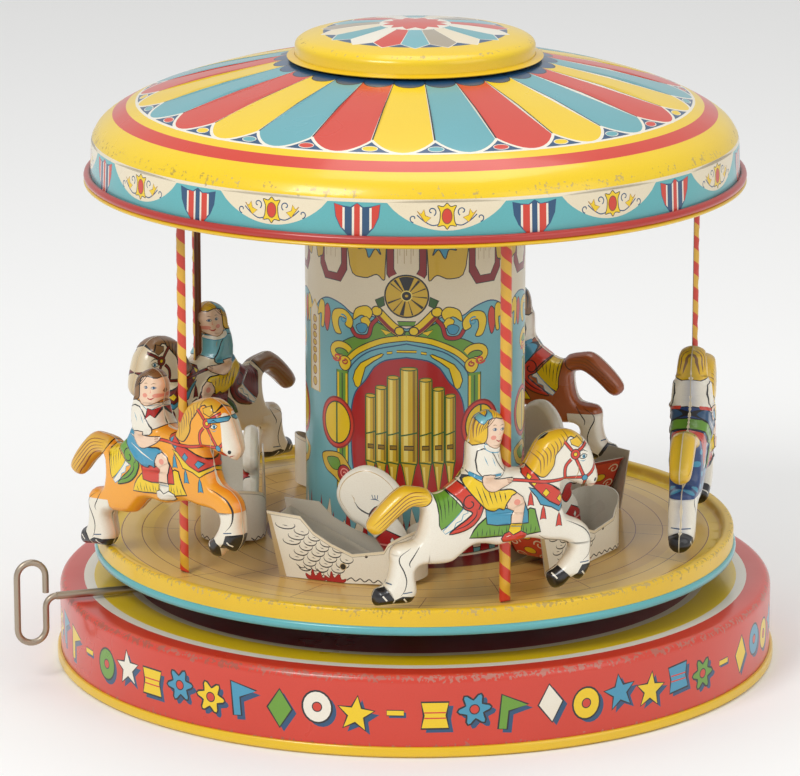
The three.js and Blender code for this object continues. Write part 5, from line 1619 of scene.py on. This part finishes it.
    def _rider(self, sheet: Print) -> None:
        """Prints the child."""
        ink = self.livery
        sheet.edged(smooth(self.SKIRT, 3), ink.skirt, width=0.45)
        if ink.boy:
            sheet.line(path("-13.6,44.6 -8.6,41.4 -3.2,38.6"), Ink.WHITE, 0.6, taper=True)
        else:
            for k in range(6):
                sheet.line([(-13.6 + 2.1 * k, 45.6 - 0.6 * k), (-10.6 + 1.6 * k, 37.9 + 0.3 * k)],
                           Ink.BLACK, 0.4, taper=True)
        sheet.edged(self.LEG, Ink.FLESH, width=0.3)
        sheet.area(ellipse(1.4, 38.7, 1.2, 1.1, sides=12), Ink.BLUSH)
        sheet.edged(path("-0.9,31.2 3.5,30.8 3,27.4 0.3,26.2 -1.6,27.6"), ink.sock, width=0.3)
        sheet.line([(-0.7, 30), (3.2, 29.6)], Ink.BLUE, 0.3)
        sheet.edged(self.SHOE, ink.shoe)
        # White slash on the shoe: a painted highlight.
        sheet.line([(-2.4, 26.2), (-0.8, 26.8)], Ink.WHITE, 0.4, taper=True)
        sheet.edged(smooth(self.BLOUSE, 2), ink.blouse, width=0.35)
        sheet.line(path("-15.2,49.6 -9.6,47.4 -5.4,50"), ink.trim, 1.3)
        for x, y, rise in ((-12.6, 56.4, -3), (-10.6, 52.2, -2.2), (-5.4, 56.8, -2.6)):
            sheet.line([(x, y), (x + 0.8, y + rise)], Ink.GREY, 0.35, taper=True)
        for k in range(5):
            sheet.line(spiral(-12.6 + 1.6 * k, 53.8 + 0.5 * (k % 2), 0.75, 0.2, 40 * k, 0.8), Ink.BLUE, 0.25)
        sheet.edged(smooth(self.SLEEVE, 2), ink.blouse, width=0.35)
        sheet.line([(-9.6, 48.9), (-4.2, 49)], ink.sock if ink.boy else ink.trim, 1.0)
        sheet.line([(-10.6, 56), (-9.2, 52.6)], ink.trim, 0.35, taper=True)
        sheet.line([(-7.6, 55.4), (-6.4, 52)], ink.trim, 0.3, taper=True)
        sheet.edged(smooth(self.ARM, 2), Ink.FLESH, width=0.3)
        for k in range(3):
            sheet.line([(-2 + 0.1 * k, 47 - 0.6 * k), (-0.2, 46.9 - 0.55 * k)], Ink.FLOOR_LINE, 0.22)
        if ink.boy:
            sheet.edged(path("-8.6,59.4 -5.2,58.2 -2.6,58.2 -4.6,56.2"), Ink.WHITE, Ink.BLUE, 0.3)
            sheet.edged(path("-5.2,57.4 -4,56.6 -2.8,57.2 -3.4,53.6 -4.4,55 -6,53.4"), Ink.ORGAN_RED,
                width=0.3)
        else:
            sheet.edged(smooth(path("-9.8,60 -6,58.7 -2.4,58.4 -3.2,57 -6.4,56.8 -9.8,58.2"), 2), Ink.WHITE,
                ink.trim, 0.3)
        sheet.edged(smooth(self.FACE, 2), Ink.FLESH, Ink.BROWN, 0.3)
        self._face(sheet)
        sheet.edged(smooth(self.HAIR, 3), ink.hair, width=0.35)
        for k in range(7):
            sheet.line(curve([(-13.2 + 0.65 * k, 61.6 + 0.7 * k), (-12.8 + 0.8 * k, 66.2),
                              (-10.6 + 1.15 * k, 70.5)]), Ink.BROWN if ink.hair is Ink.HAIR else Ink.BLACK,
                       0.3, taper=True)
        if not ink.boy:
            bow = smooth(path("-12,68.2 -10.6,70.1 -9,69.3 -7,71 -6.6,68.9 -8.6,68.2 -10,66.8"), 2)
            sheet.edged(bow, Ink.SKY, Ink.DARK_BLUE, 0.3)

    @staticmethod
    def _face(sheet: Print) -> None:
        """Prints the child's two eyes, nose, cheeks and smile."""
        for x, y in ((-6.5, 61.9), (-2.5, 61.6)):
            sheet.area(ellipse(x, y, 1.05, 0.8, sides=14), Ink.BLUSH)
        for x, y in ((-5.9, 64.7), (-2.9, 64.5)):
            sheet.edged(smooth([(x - 0.85, y), (x, y + 0.55), (x + 0.75, y), (x, y - 0.4)], 2), Ink.WHITE,
                        Ink.DARK_BLUE, 0.2)
            sheet.area(ellipse(x + 0.1, y + 0.05, 0.36, 0.4, sides=9), Ink.DARK_BLUE)
            sheet.line([(x - 0.9, y + 1.3), (x, y + 1.65), (x + 0.8, y + 1.35)], Ink.BROWN, 0.28, taper=True)
        sheet.line(path("-4.1,64.2 -3.9,62.9 -4.6,62.7"), Ink.BLUSH, 0.35, taper=True)
        sheet.line(curve(path("-5.6,61.1 -4.4,60.4 -3.1,61"), 3), Ink.ORGAN_RED, 0.5, taper=True)

    def build(self, bulge: Bulge) -> list[bpy.types.Object]:
        """Makes both halves.

        Args:
            bulge: Height of the pressing, shared by all horses.

        Returns:
            The outer and the inner half.
        """
        outline = smooth(list(reversed(self.OUTLINE)), 3)
        if signed_area(outline) < 0:
            outline = outline[::-1]
        art = self.artwork(outline)
        spin = station(self.angle)
        made = []
        tan = np.array(self.livery.shade)
        a, b = math.radians(self.tilt), math.radians(self.turn)
        for side, half in ((1, "outer"), (-1, "inner")):
            loop = outline if side == 1 else [(-x, y) for x, y in reversed(outline)]
            sheet = Print(loop, art.ground)
            sheet.layers = [(points * (side, 1), ink) for points, ink in art.layers]

            def place(flat: np.ndarray, drop: float, gap: float, side: int = side) -> np.ndarray:
                """Puts points of the sheet where the half stands, by thickness and gap."""
                along, up = flat[:, 0] * side, flat[:, 1]
                out = np.maximum(bulge(np.stack([along, up], 1)) - drop, 0) + gap
                x = along * math.cos(a) - up * math.sin(a)
                z = along * math.sin(a) + up * math.cos(a)
                y = -side * out
                turned = np.stack([x * math.cos(b) - y * math.sin(b), x * math.sin(b) + y * math.cos(b),
                                   z], 1)
                return spin(turned + (0, -self.distance, self.floor + self.lift))

            def airbrush(flat: np.ndarray, colour: np.ndarray, side: int = side) -> np.ndarray:
                """Darkens the print towards the edge of the figure."""
                near = bulge(flat * (side, 1))
                share = 0.75 * np.clip(1 - near / 4.2, 0, 1) ** 1.5
                return colour * (1 - share[:, None] * (1 - tan))

            inner = scattered(loop, 0.9, (0.35, 0.8))
            piece = Pressing(f"horse_{self.number}_{half}_print", sheet, inner,
                             lambda flat, place=place: place(flat, 0, self.seam),
                             lining=lambda flat, place=place: place(flat, 0.6, 0.05), back=Ink.CREAM,
                             tint=airbrush, probe=0.25).build()
            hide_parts(f"horse_{self.number}_{half}_half")
            made.append(piece)
        return made

    @classmethod
    def relief(cls) -> Bulge:
        """Returns the height of a half: the rounded body, with the rider, saddle and mane pressed over it."""
        loop = smooth(list(reversed(cls.OUTLINE)), 3)
        raised = ((smooth(cls.SKIRT), 0.9), (smooth(cls.BLOUSE), 0.7), (cls.LEG, 1.2), (cls.SHOE, 1.0),
                  (smooth(cls.ARM), 0.8), (smooth(cls.SLEEVE), 0.9), (cls.CLOTH, 0.45), (cls.CANTLE, 0.7),
                  (cls.BREAST, 0.5), (smooth(cls.MANE), 0.6), (smooth(cls.HAIR), 0.5))
        return Bulge(loop, cls.depth, raised)


def signed_area(loop: Sequence[Point]) -> float:
    """Returns the area of a loop, positive if it runs counter-clockwise."""
    return 0.5 * sum(ax * by - bx * ay for (ax, ay), (bx, by) in zip(loop, [*loop[1:], loop[0]]))


# ---------- Swan boats ----------
@dataclass
class SwanBoat:
    """Two-seat boat: printed hull wall, bent tub and a pressed swan's neck."""

    number: int
    middle: float = 67.0
    floor: float = FLOOR_HEIGHT
    neck_line: float = 60.6
    depth: float = 2.9
    sheet_gauge: float = 0.45

    NECK = path(
        "17.5,1.2 10.8,1.2 7.6,9 1.6,15.6 -4.8,19 -9.4,25.5 -9.4,31 -6,36 0.5,39.3 7,38 12,34.4 15,30 "
        "14.4,26 11,22.8 14.5,18.5 17.5,12")
    STATIONS = ((-26, 9.8, 24), (-18, 10.5, 23.2), (-13, 10.9, 18), (-6, 11.4, 14.2), (2, 11.8, 11.2),
                (14, 12, 13.4))

    @property
    def angle(self) -> float:
        """Angle of the boat round the spindle."""
        return FIRST_BOAT + RIDE_STEP * (self.number - 1)

    def _place(self, local: np.ndarray) -> np.ndarray:
        """Returns points of travel, outward and up in the toy's frame."""
        spun_points = np.stack([local[:, 0], -(self.middle + local[:, 1]), self.floor + local[:, 2]], 1)
        return station(self.angle)(spun_points)

    def _hull(self) -> bpy.types.Object:
        """Makes the wall that runs from the stern round the prow and back."""
        side = list(self.STATIONS)
        nose = [(14 + 12 * math.sin(a), 12 * math.cos(a), 13.4 + 7.6 * math.sqrt(max(math.sin(a), 0)))
                for a in np.linspace(0, math.pi, 25)[1:-1]]
        path = side + nose + [(x, -y, top) for x, y, top in reversed(side)]
        plan = np.array([(x, y) for x, y, _ in path])
        tops = np.array([top for _, _, top in path])
        along = distances(plan)
        length = float(along[-1])
        crest = list(zip(along.tolist(), tops.tolist()))
        outline = [(0, 0.3), (length, 0.3), *reversed(crest)]
        sheet = Print(outline, Ink.WHITE)
        for mirror in (False, True):
            self._feathers(sheet, length, mirror)
        sheet.line(crest, Ink.CREAM, 1.8)
        sheet.line([(u, top - 1.1) for u, top in crest], Ink.GREY, 0.22)

        def bend(flat: np.ndarray) -> np.ndarray:
            """Rolls the strip round the plan and leans its stern back."""
            x = np.interp(flat[:, 0], along, plan[:, 0])
            y = np.interp(flat[:, 0], along, plan[:, 1])
            lean = 5 * flat[:, 1] / 24 * np.clip((-18 - x) / 8, 0, 1)
            return self._place(np.stack([x - lean, y, flat[:, 1]], 1))

        inner = lattice(np.unique(np.concatenate([along, np.linspace(1, length - 1, 50)])),
                        np.linspace(2, 20, 6))
        hull = Pressing(f"boat_{self.number}_hull_print", sheet, inner, bend, thickness=self.sheet_gauge,
                        back=Ink.TIN).build()
        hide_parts(f"boat_{self.number}_hull")
        return hull

    @staticmethod
    def _feathers(sheet: Print, length: float, mirror: bool) -> None:
        """Prints the wing feathers, the red plumes and the wavy hem on one side."""
        def put(loop: Sequence[Point]) -> list[Point]:
            """Returns a loop on this side of the strip, from the distance behind the stern."""
            return [(length - x, y) for x, y in loop] if mirror else list(loop)

        sheet.area(put(path("0,0 2.6,0 0.6,26 0,26")), Ink.TAN)
        for row in range(6):
            for k in range(5 - row // 3):
                x = 4.2 + 4.7 * k + 2.3 * (row % 2) + 0.7 * row
                y = 19.6 - 2.55 * row - 0.36 * (x - 4)
                scale = [(x + 2.5 * math.cos(a), y + 1.5 * math.sin(a)) for a in np.linspace(-3.5, 0.5, 14)]
                sheet.line(put(scale), Ink.BLACK, 0.42, taper=True)
                sheet.line(put([(x - 0.8, y - 0.1), (x + 0.7, y - 0.4)]), Ink.BLACK, 0.28, taper=True)
        for k in range(4):
            x = 6.5 + 2.6 * k
            sheet.line(put(curve([(x, 5.6 - 0.3 * k), (x + 1.7, 4.2 - 0.3 * k), (x + 3.4, 4.4 - 0.3 * k)],
                                 3)), Ink.BLACK, 0.4, taper=True)
        for x in (11.5, 18.8):
            plume = smooth([(x, 0.2), (x - 1.4, 2.4), (x + 0.6, 1.6), (x + 1.2, 4.2), (x + 2.4, 1.8),
                            (x + 4.2, 3.4), (x + 5.2, 1.4), (x + 7, 1.8), (x + 5.6, 0.2)], 3)
            sheet.edged(put(plume), Ink.ORGAN_RED, Ink.WINE, 0.3)
        hem = [(26 + 1.7 * k, 1.4 + 1.1 * (k % 2)) for k in range(16)]
        sheet.line(put(curve(hem, 3)), Ink.BLACK, 0.4)
        sheet.edged(put(ellipse(24.6, 6.3, 1.2, 1.2, sides=14)), Ink.BLACK, Ink.TAN, 0.3)
        sheet.area(put(ellipse(33.4, 10.9, 0.6, 0.6, sides=10)), Ink.BLACK)

    def _tub(self) -> bpy.types.Object:
        """Makes the bent seat."""
        line = np.array(rounded(path("-29,21 -23,9 -19.6,4.4 -13.6,2.6 10,2.2"), 3, 3))
        along = distances(line)
        length, half = float(along[-1]), 8.7
        sheet = Print(box(0, 0, length, 2 * half), Ink.ORGAN_RED)
        border = 1.2
        sheet.edged(box(border, border, length - border, 2 * half - border), Ink.CORAL, Ink.WINE, 0.6)
        for k in range(3):
            for flip in (False, True):
                curl = spiral(4.6 + 7.2 * k, 3.4, 2.4, 0.5, 90, 1.2)
                loop = [(x, 2 * half - y if flip else y) for x, y in curl]
                sheet.line(loop, Ink.CREAM, 0.55)
            sheet.edged(ellipse(8.2 + 7.2 * k, half, 1.8, 2.6), Ink.YELLOW, Ink.WINE, 0.4)

        def bend(flat: np.ndarray) -> np.ndarray:
            """Bends the strip along the seat's line."""
            x, z = np.interp(flat[:, 0], along, line[:, 0]), np.interp(flat[:, 0], along, line[:, 1])
            return self._place(np.stack([x, flat[:, 1] - half, z], 1))

        inner = lattice(np.unique(np.concatenate([along, np.linspace(1, length - 1, 16)])),
                        np.linspace(1, 16.4, 5))
        tub = Pressing(f"boat_{self.number}_tub_print", sheet, inner, bend, thickness=self.sheet_gauge,
                       back=Ink.TIN, finish=PRINTED_SATIN).build()
        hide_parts(f"boat_{self.number}_tub")
        return tub

    def _neck(self, bulge: Bulge) -> bpy.types.Object:
        """Makes the neck and head, one closed pressing printed on its outer side and plain white on the
        other.
        """
        loop = smooth(self.NECK)
        if signed_area(loop) < 0:
            loop = loop[::-1]
        sheet = Print(loop, Ink.WHITE)
        inset = [(x * 0.86 + 0.5, 30.3 + (y - 30.3) * 0.84) for x, y in
                 ((-4.8, 19), (-9.4, 25.5), (-9.4, 31), (-6, 36), (0.5, 39.3), (7, 38), (12, 34.4), (15, 30))]
        sheet.line(curve(inset), Ink.TAN, 0.35, taper=True)
        collar = path("4.8,12.4 9.4,16.8 17.8,13.4 18,1 10.6,1 7.6,9")
        sheet.edged(collar, Ink.ORGAN_RED, Ink.BLACK, 0.4)
        for k in range(3):
            low = 3.2 + 3.9 * k
            sheet.line([(19, low + 0.5), (8.6 - 0.8 * k, low)], Ink.PINK, 0.7)
            sheet.edged(moved(diamond(0.9, 1.3), 12.6 - 0.3 * k, low + 1.9), Ink.WHITE, width=0.25)
        sheet.edged(smooth(path("5.4,24.8 8.9,25.4 11.6,23.4 9.4,20.4 6.2,18.6 3.2,21.2"), 3),
            Ink.ORGAN_RED, Ink.BLACK, 0.4)
        sheet.line(curve(path("-2.2,26.3 -0.8,24.2 1.2,22.9 3.6,22.2 5.2,24.4"), 3), Ink.BLACK, 0.6,
            taper=True)
        sheet.line(path("3.8,27.6 5.6,27.9 7.2,27.2"), Ink.DARK_BLUE, 0.55, taper=True)
        for k in range(3):
            sheet.line([(4.8 + 0.8 * k, 27.9), (4.3 + 1.1 * k, 29.4)], Ink.DARK_BLUE, 0.28)
        sheet.line(path("-3.4,28.8 -2.4,27.4 -2.2,25.6"), Ink.TAN, 0.35, taper=True)

        def place(flat: np.ndarray, side: int) -> np.ndarray:
            """Puts the sheet's points on one side of the neck's middle plane."""
            out = (bulge(flat) + 0.1) * side + self.neck_line - self.middle
            return self._place(np.stack([flat[:, 0], out, flat[:, 1]], 1))

        neck = Pressing(f"boat_{self.number}_swan_neck_print", sheet, scattered(loop, 0.8, (0.3, 0.7)),
                        lambda flat: place(flat, 1), lining=lambda flat: place(flat, -1), back=Ink.WHITE,
                        probe=0.2).build()
        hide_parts(f"boat_{self.number}_swan_neck")
        return neck

    def build(self, bulge: Bulge) -> list[bpy.types.Object]:
        """Makes the boat's three parts."""
        hull, tub, neck = self._hull(), self._tub(), self._neck(bulge)
        return [hull, tub, neck]


# ---------- Key and motor ----------
def rod(points: Sequence[tuple[float, float, float]], radius: float, sides: int = 14) -> bmesh.types.BMesh:
    """Sweeps a round section along a line.

    Args:
        points: Middle of the rod, in millimetres.
        radius: Radius of the rod.
        sides: Sides of its section.

    Returns:
        The closed rod.
    """
    bm = bmesh.new()
    middle = [Vector(p) for p in points]
    side = None
    rings = []
    for i, here in enumerate(middle):
        ahead = middle[min(i + 1, len(middle) - 1)] - middle[max(i - 1, 0)]
        ahead.normalize()
        side = (side - ahead * side.dot(ahead)).normalized() if side else ahead.orthogonal().normalized()
        other = ahead.cross(side)
        ring = [bm.verts.new(here + side * radius * math.cos(TAU * k / sides)
                             + other * radius * math.sin(TAU * k / sides)) for k in range(sides)]
        rings.append(ring)
    for low, high in zip(rings, rings[1:]):
        for k in range(sides):
            bm.faces.new((low[k], low[(k + 1) % sides], high[(k + 1) % sides], high[k]))
    bm.faces.new(list(reversed(rings[0])))
    bm.faces.new(rings[-1])
    return bm


@dataclass
class Key:
    """Winding key: a rod whose end is bent round into a loop."""

    start: float = 37.9
    near: float = 141.2
    far: float = 151.8
    height: float = 32.0
    loop_middle: float = 30.2
    straight: float = 9.8
    bend: float = 5.3
    shaft: float = 1.42
    wire: float = 1.2
    heading: tuple[float, float] = (-0.951057, -0.309017)

    def _at(self, along: float, z: float) -> tuple[float, float, float]:
        """Returns a point of the key's upright plane."""
        return (self.heading[0] * along, self.heading[1] * along, z)

    def build(self) -> bpy.types.Object:
        """Makes the key from one bent wire and its thicker shaft."""
        middle = (self.near + self.far) / 2
        low, high = self.loop_middle - self.straight, self.loop_middle + self.straight
        path = [(self.near - 4, self.height)]
        path += [(self.near - 4 + 4 * math.sin(a), self.height - 4 + 4 * math.cos(a))
                 for a in np.linspace(0.2, math.pi / 2, 7)]
        path += [(middle - self.bend * math.cos(a), low - self.bend * math.sin(a))
                 for a in np.linspace(0, math.pi, 15)]
        path += [(middle + self.bend * math.cos(a), high + self.bend * math.sin(a))
                 for a in np.linspace(0, math.pi, 15)]
        path += [(self.near, self.height + 1.6)]
        bm = rod([self._at(a, z) for a, z in path], self.wire)
        shaft = rod([self._at(a, self.height)
                     for a in (self.start, 60, 90, 115, self.near - 5.5, self.near - 4)], self.shaft)
        joined = bpy.data.meshes.new("key_shaft_part")
        shaft.to_mesh(joined)
        shaft.free()
        bm.from_mesh(joined)
        bpy.data.meshes.remove(joined)
        key = clean(bm, "key_bent_wire", DARK_STEEL)
        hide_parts("key_wire")
        return key


@dataclass
class Motor:
    """Clockwork under the turntable: the CAD parts, given their metals."""

    brass: tuple[str, ...] = ("winding_pinion", "winding_crown_wheel", "great_wheel", "second_wheel",
                              "hub_pinion", "hub_wheel", "ratchet_wheel", "governor_fan", "key_bearing",
                              "hub_sleeve")
    replaced: tuple[str, ...] = ("base_", "turntable", "column", "canopy", "top_cap", "pole_", "horse_",
                                 "boat_", "key_wire")

    def finish(self, nodes: dict[str, bpy.types.Object]) -> int:
        """Gives every kept CAD node its metal.

        Args:
            nodes: CAD nodes by name.

        Returns:
            How many nodes were finished.
        """
        count = 0
        for name, node in sorted(nodes.items()):
            if name.startswith(self.replaced):
                continue
            metal = BRASS if name in self.brass else BRIGHT_STEEL
            node.data.materials.clear()
            node.data.materials.append(metal.material())
            count += 1
        return count


# ---------- Studio ----------
@dataclass
class Studio:
    """White floor, soft light and the camera."""

    distance: float = 1.75
    height: float = 0.542
    tilt: float = 14.2
    lens: float = 220.3
    shift: float = -0.019
    sensor: float = 36
    aim: float = 0.12
    floor_size: float = 6
    paper: tuple[float, float, float] = (0.92, 0.92, 0.91)
    sky: tuple[float, float] = (0.6, 1.0)  # brightness that lights the toy, and that the camera sees
    lamps: tuple = (("key_light", (-0.9, -1.2, 1.5), 0.7, 16), ("fill_light", (1.3, -1.0, 0.9), 1.2, 5),
                    ("top_light", (0.1, 0.3, 1.7), 1.0, 7))

    def _lamp(self, name: str, place: tuple[float, float, float], size: float, power: float) -> None:
        """Hangs a square softbox that looks at the toy."""
        light = bpy.data.lights.new(name, "AREA")
        light.shape, light.size, light.energy = "SQUARE", size, power
        lamp = linked(name, light)
        lamp.location = place
        lamp.rotation_euler = (Vector((0, 0, self.aim)) - Vector(place)).to_track_quat("-Z", "Y").to_euler()

    def build(self) -> None:
        """Sets up the floor, the lights and the camera."""
        bm = bmesh.new()
        bmesh.ops.create_grid(bm, x_segments=2, y_segments=2, size=self.floor_size)
        mesh = bpy.data.meshes.new("floor")
        bm.to_mesh(mesh)
        bm.free()
        paper = bpy.data.materials.new("floor_paper")
        paper.use_nodes = True
        surface = paper.node_tree.nodes["Principled BSDF"]
        surface.inputs["Base Color"].default_value = (*self.paper, 1)
        surface.inputs["Roughness"].default_value = 0.9
        mesh.materials.append(paper)
        floor = linked("floor", mesh)
        floor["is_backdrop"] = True
        world = bpy.data.worlds.new("studio")
        world.use_nodes = True
        sky = world.node_tree.nodes["Background"]
        seen = world.node_tree.nodes.new("ShaderNodeLightPath").outputs["Is Camera Ray"]
        level = world.node_tree.nodes.new("ShaderNodeMapRange")
        level.inputs["To Min"].default_value, level.inputs["To Max"].default_value = self.sky
        world.node_tree.links.new(seen, level.inputs["Value"])
        world.node_tree.links.new(level.outputs[0], sky.inputs["Strength"])
        sky.inputs["Color"].default_value = (1, 1, 1, 1)
        scene = bpy.context.scene
        scene.world = world
        for lamp in self.lamps:
            self._lamp(*lamp)
        camera_data = bpy.data.cameras.new("camera")
        camera_data.lens, camera_data.sensor_width, camera_data.shift_x = self.lens, self.sensor, self.shift
        camera = linked("camera", camera_data)
        camera.location = (0, -self.distance, self.height)
        camera.rotation_euler = (math.radians(90 - self.tilt), 0, 0)
        scene.camera = camera
        scene.view_settings.view_transform = "Standard"


@dataclass
class Carousel:
    """The whole toy, as sub-assemblies riding on the CAD bodies."""

    base: Base = field(default_factory=Base)
    key: Key = field(default_factory=Key)
    motor: Motor = field(default_factory=Motor)
    turning: tuple = field(default_factory=lambda: (Turntable(), Column(), Canopy(), Cap()))
    horses: tuple = field(default_factory=lambda: (
        Horse(1, WHITE_HORSE, "white_horse"), Horse(2, NIGHT_HORSE, "dark_horse", turn=-9),
        Horse(3, BAY_HORSE, "bay_horse"), Horse(4, CREAM_HORSE, "white_horse", turn=-8),
        Horse(5, PALOMINO_HORSE, "palomino_horse", turn=13, tilt=6, lift=3.8)))

    def build(self, nodes: dict[str, bpy.types.Object]) -> None:
        """Makes every piece and puts it on its body."""
        for piece in self.base.build():
            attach(piece, "base")
        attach(self.key.build(), "key")
        turning = [piece for part in self.turning for piece in part.build()]
        turning += [Pole(i).build() for i in range(1, RIDES + 1)]
        relief = Horse.relief()
        for horse in self.horses:
            turning += horse.build(relief)
        neck = Bulge(smooth(SwanBoat.NECK), SwanBoat.depth)
        for i in range(1, RIDES + 1):
            turning += SwanBoat(i).build(neck)
        for piece in turning:
            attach(piece, "carousel")
        LOG.info("%d printed pieces turn, %d metal parts kept", len(turning), self.motor.finish(nodes))


def main() -> None:
    """Builds the toy and its studio."""
    logging.basicConfig(level=logging.INFO, format="%(message)s")
    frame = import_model()
    Carousel().build(frame["nodes"])
    Studio().build()
    for piece in sorted(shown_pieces(), key=lambda o: o.name):
        LOG.info("%-28s %6d faces", piece.name, len(piece.data.polygons))


if __name__ == "__main__":
    main()
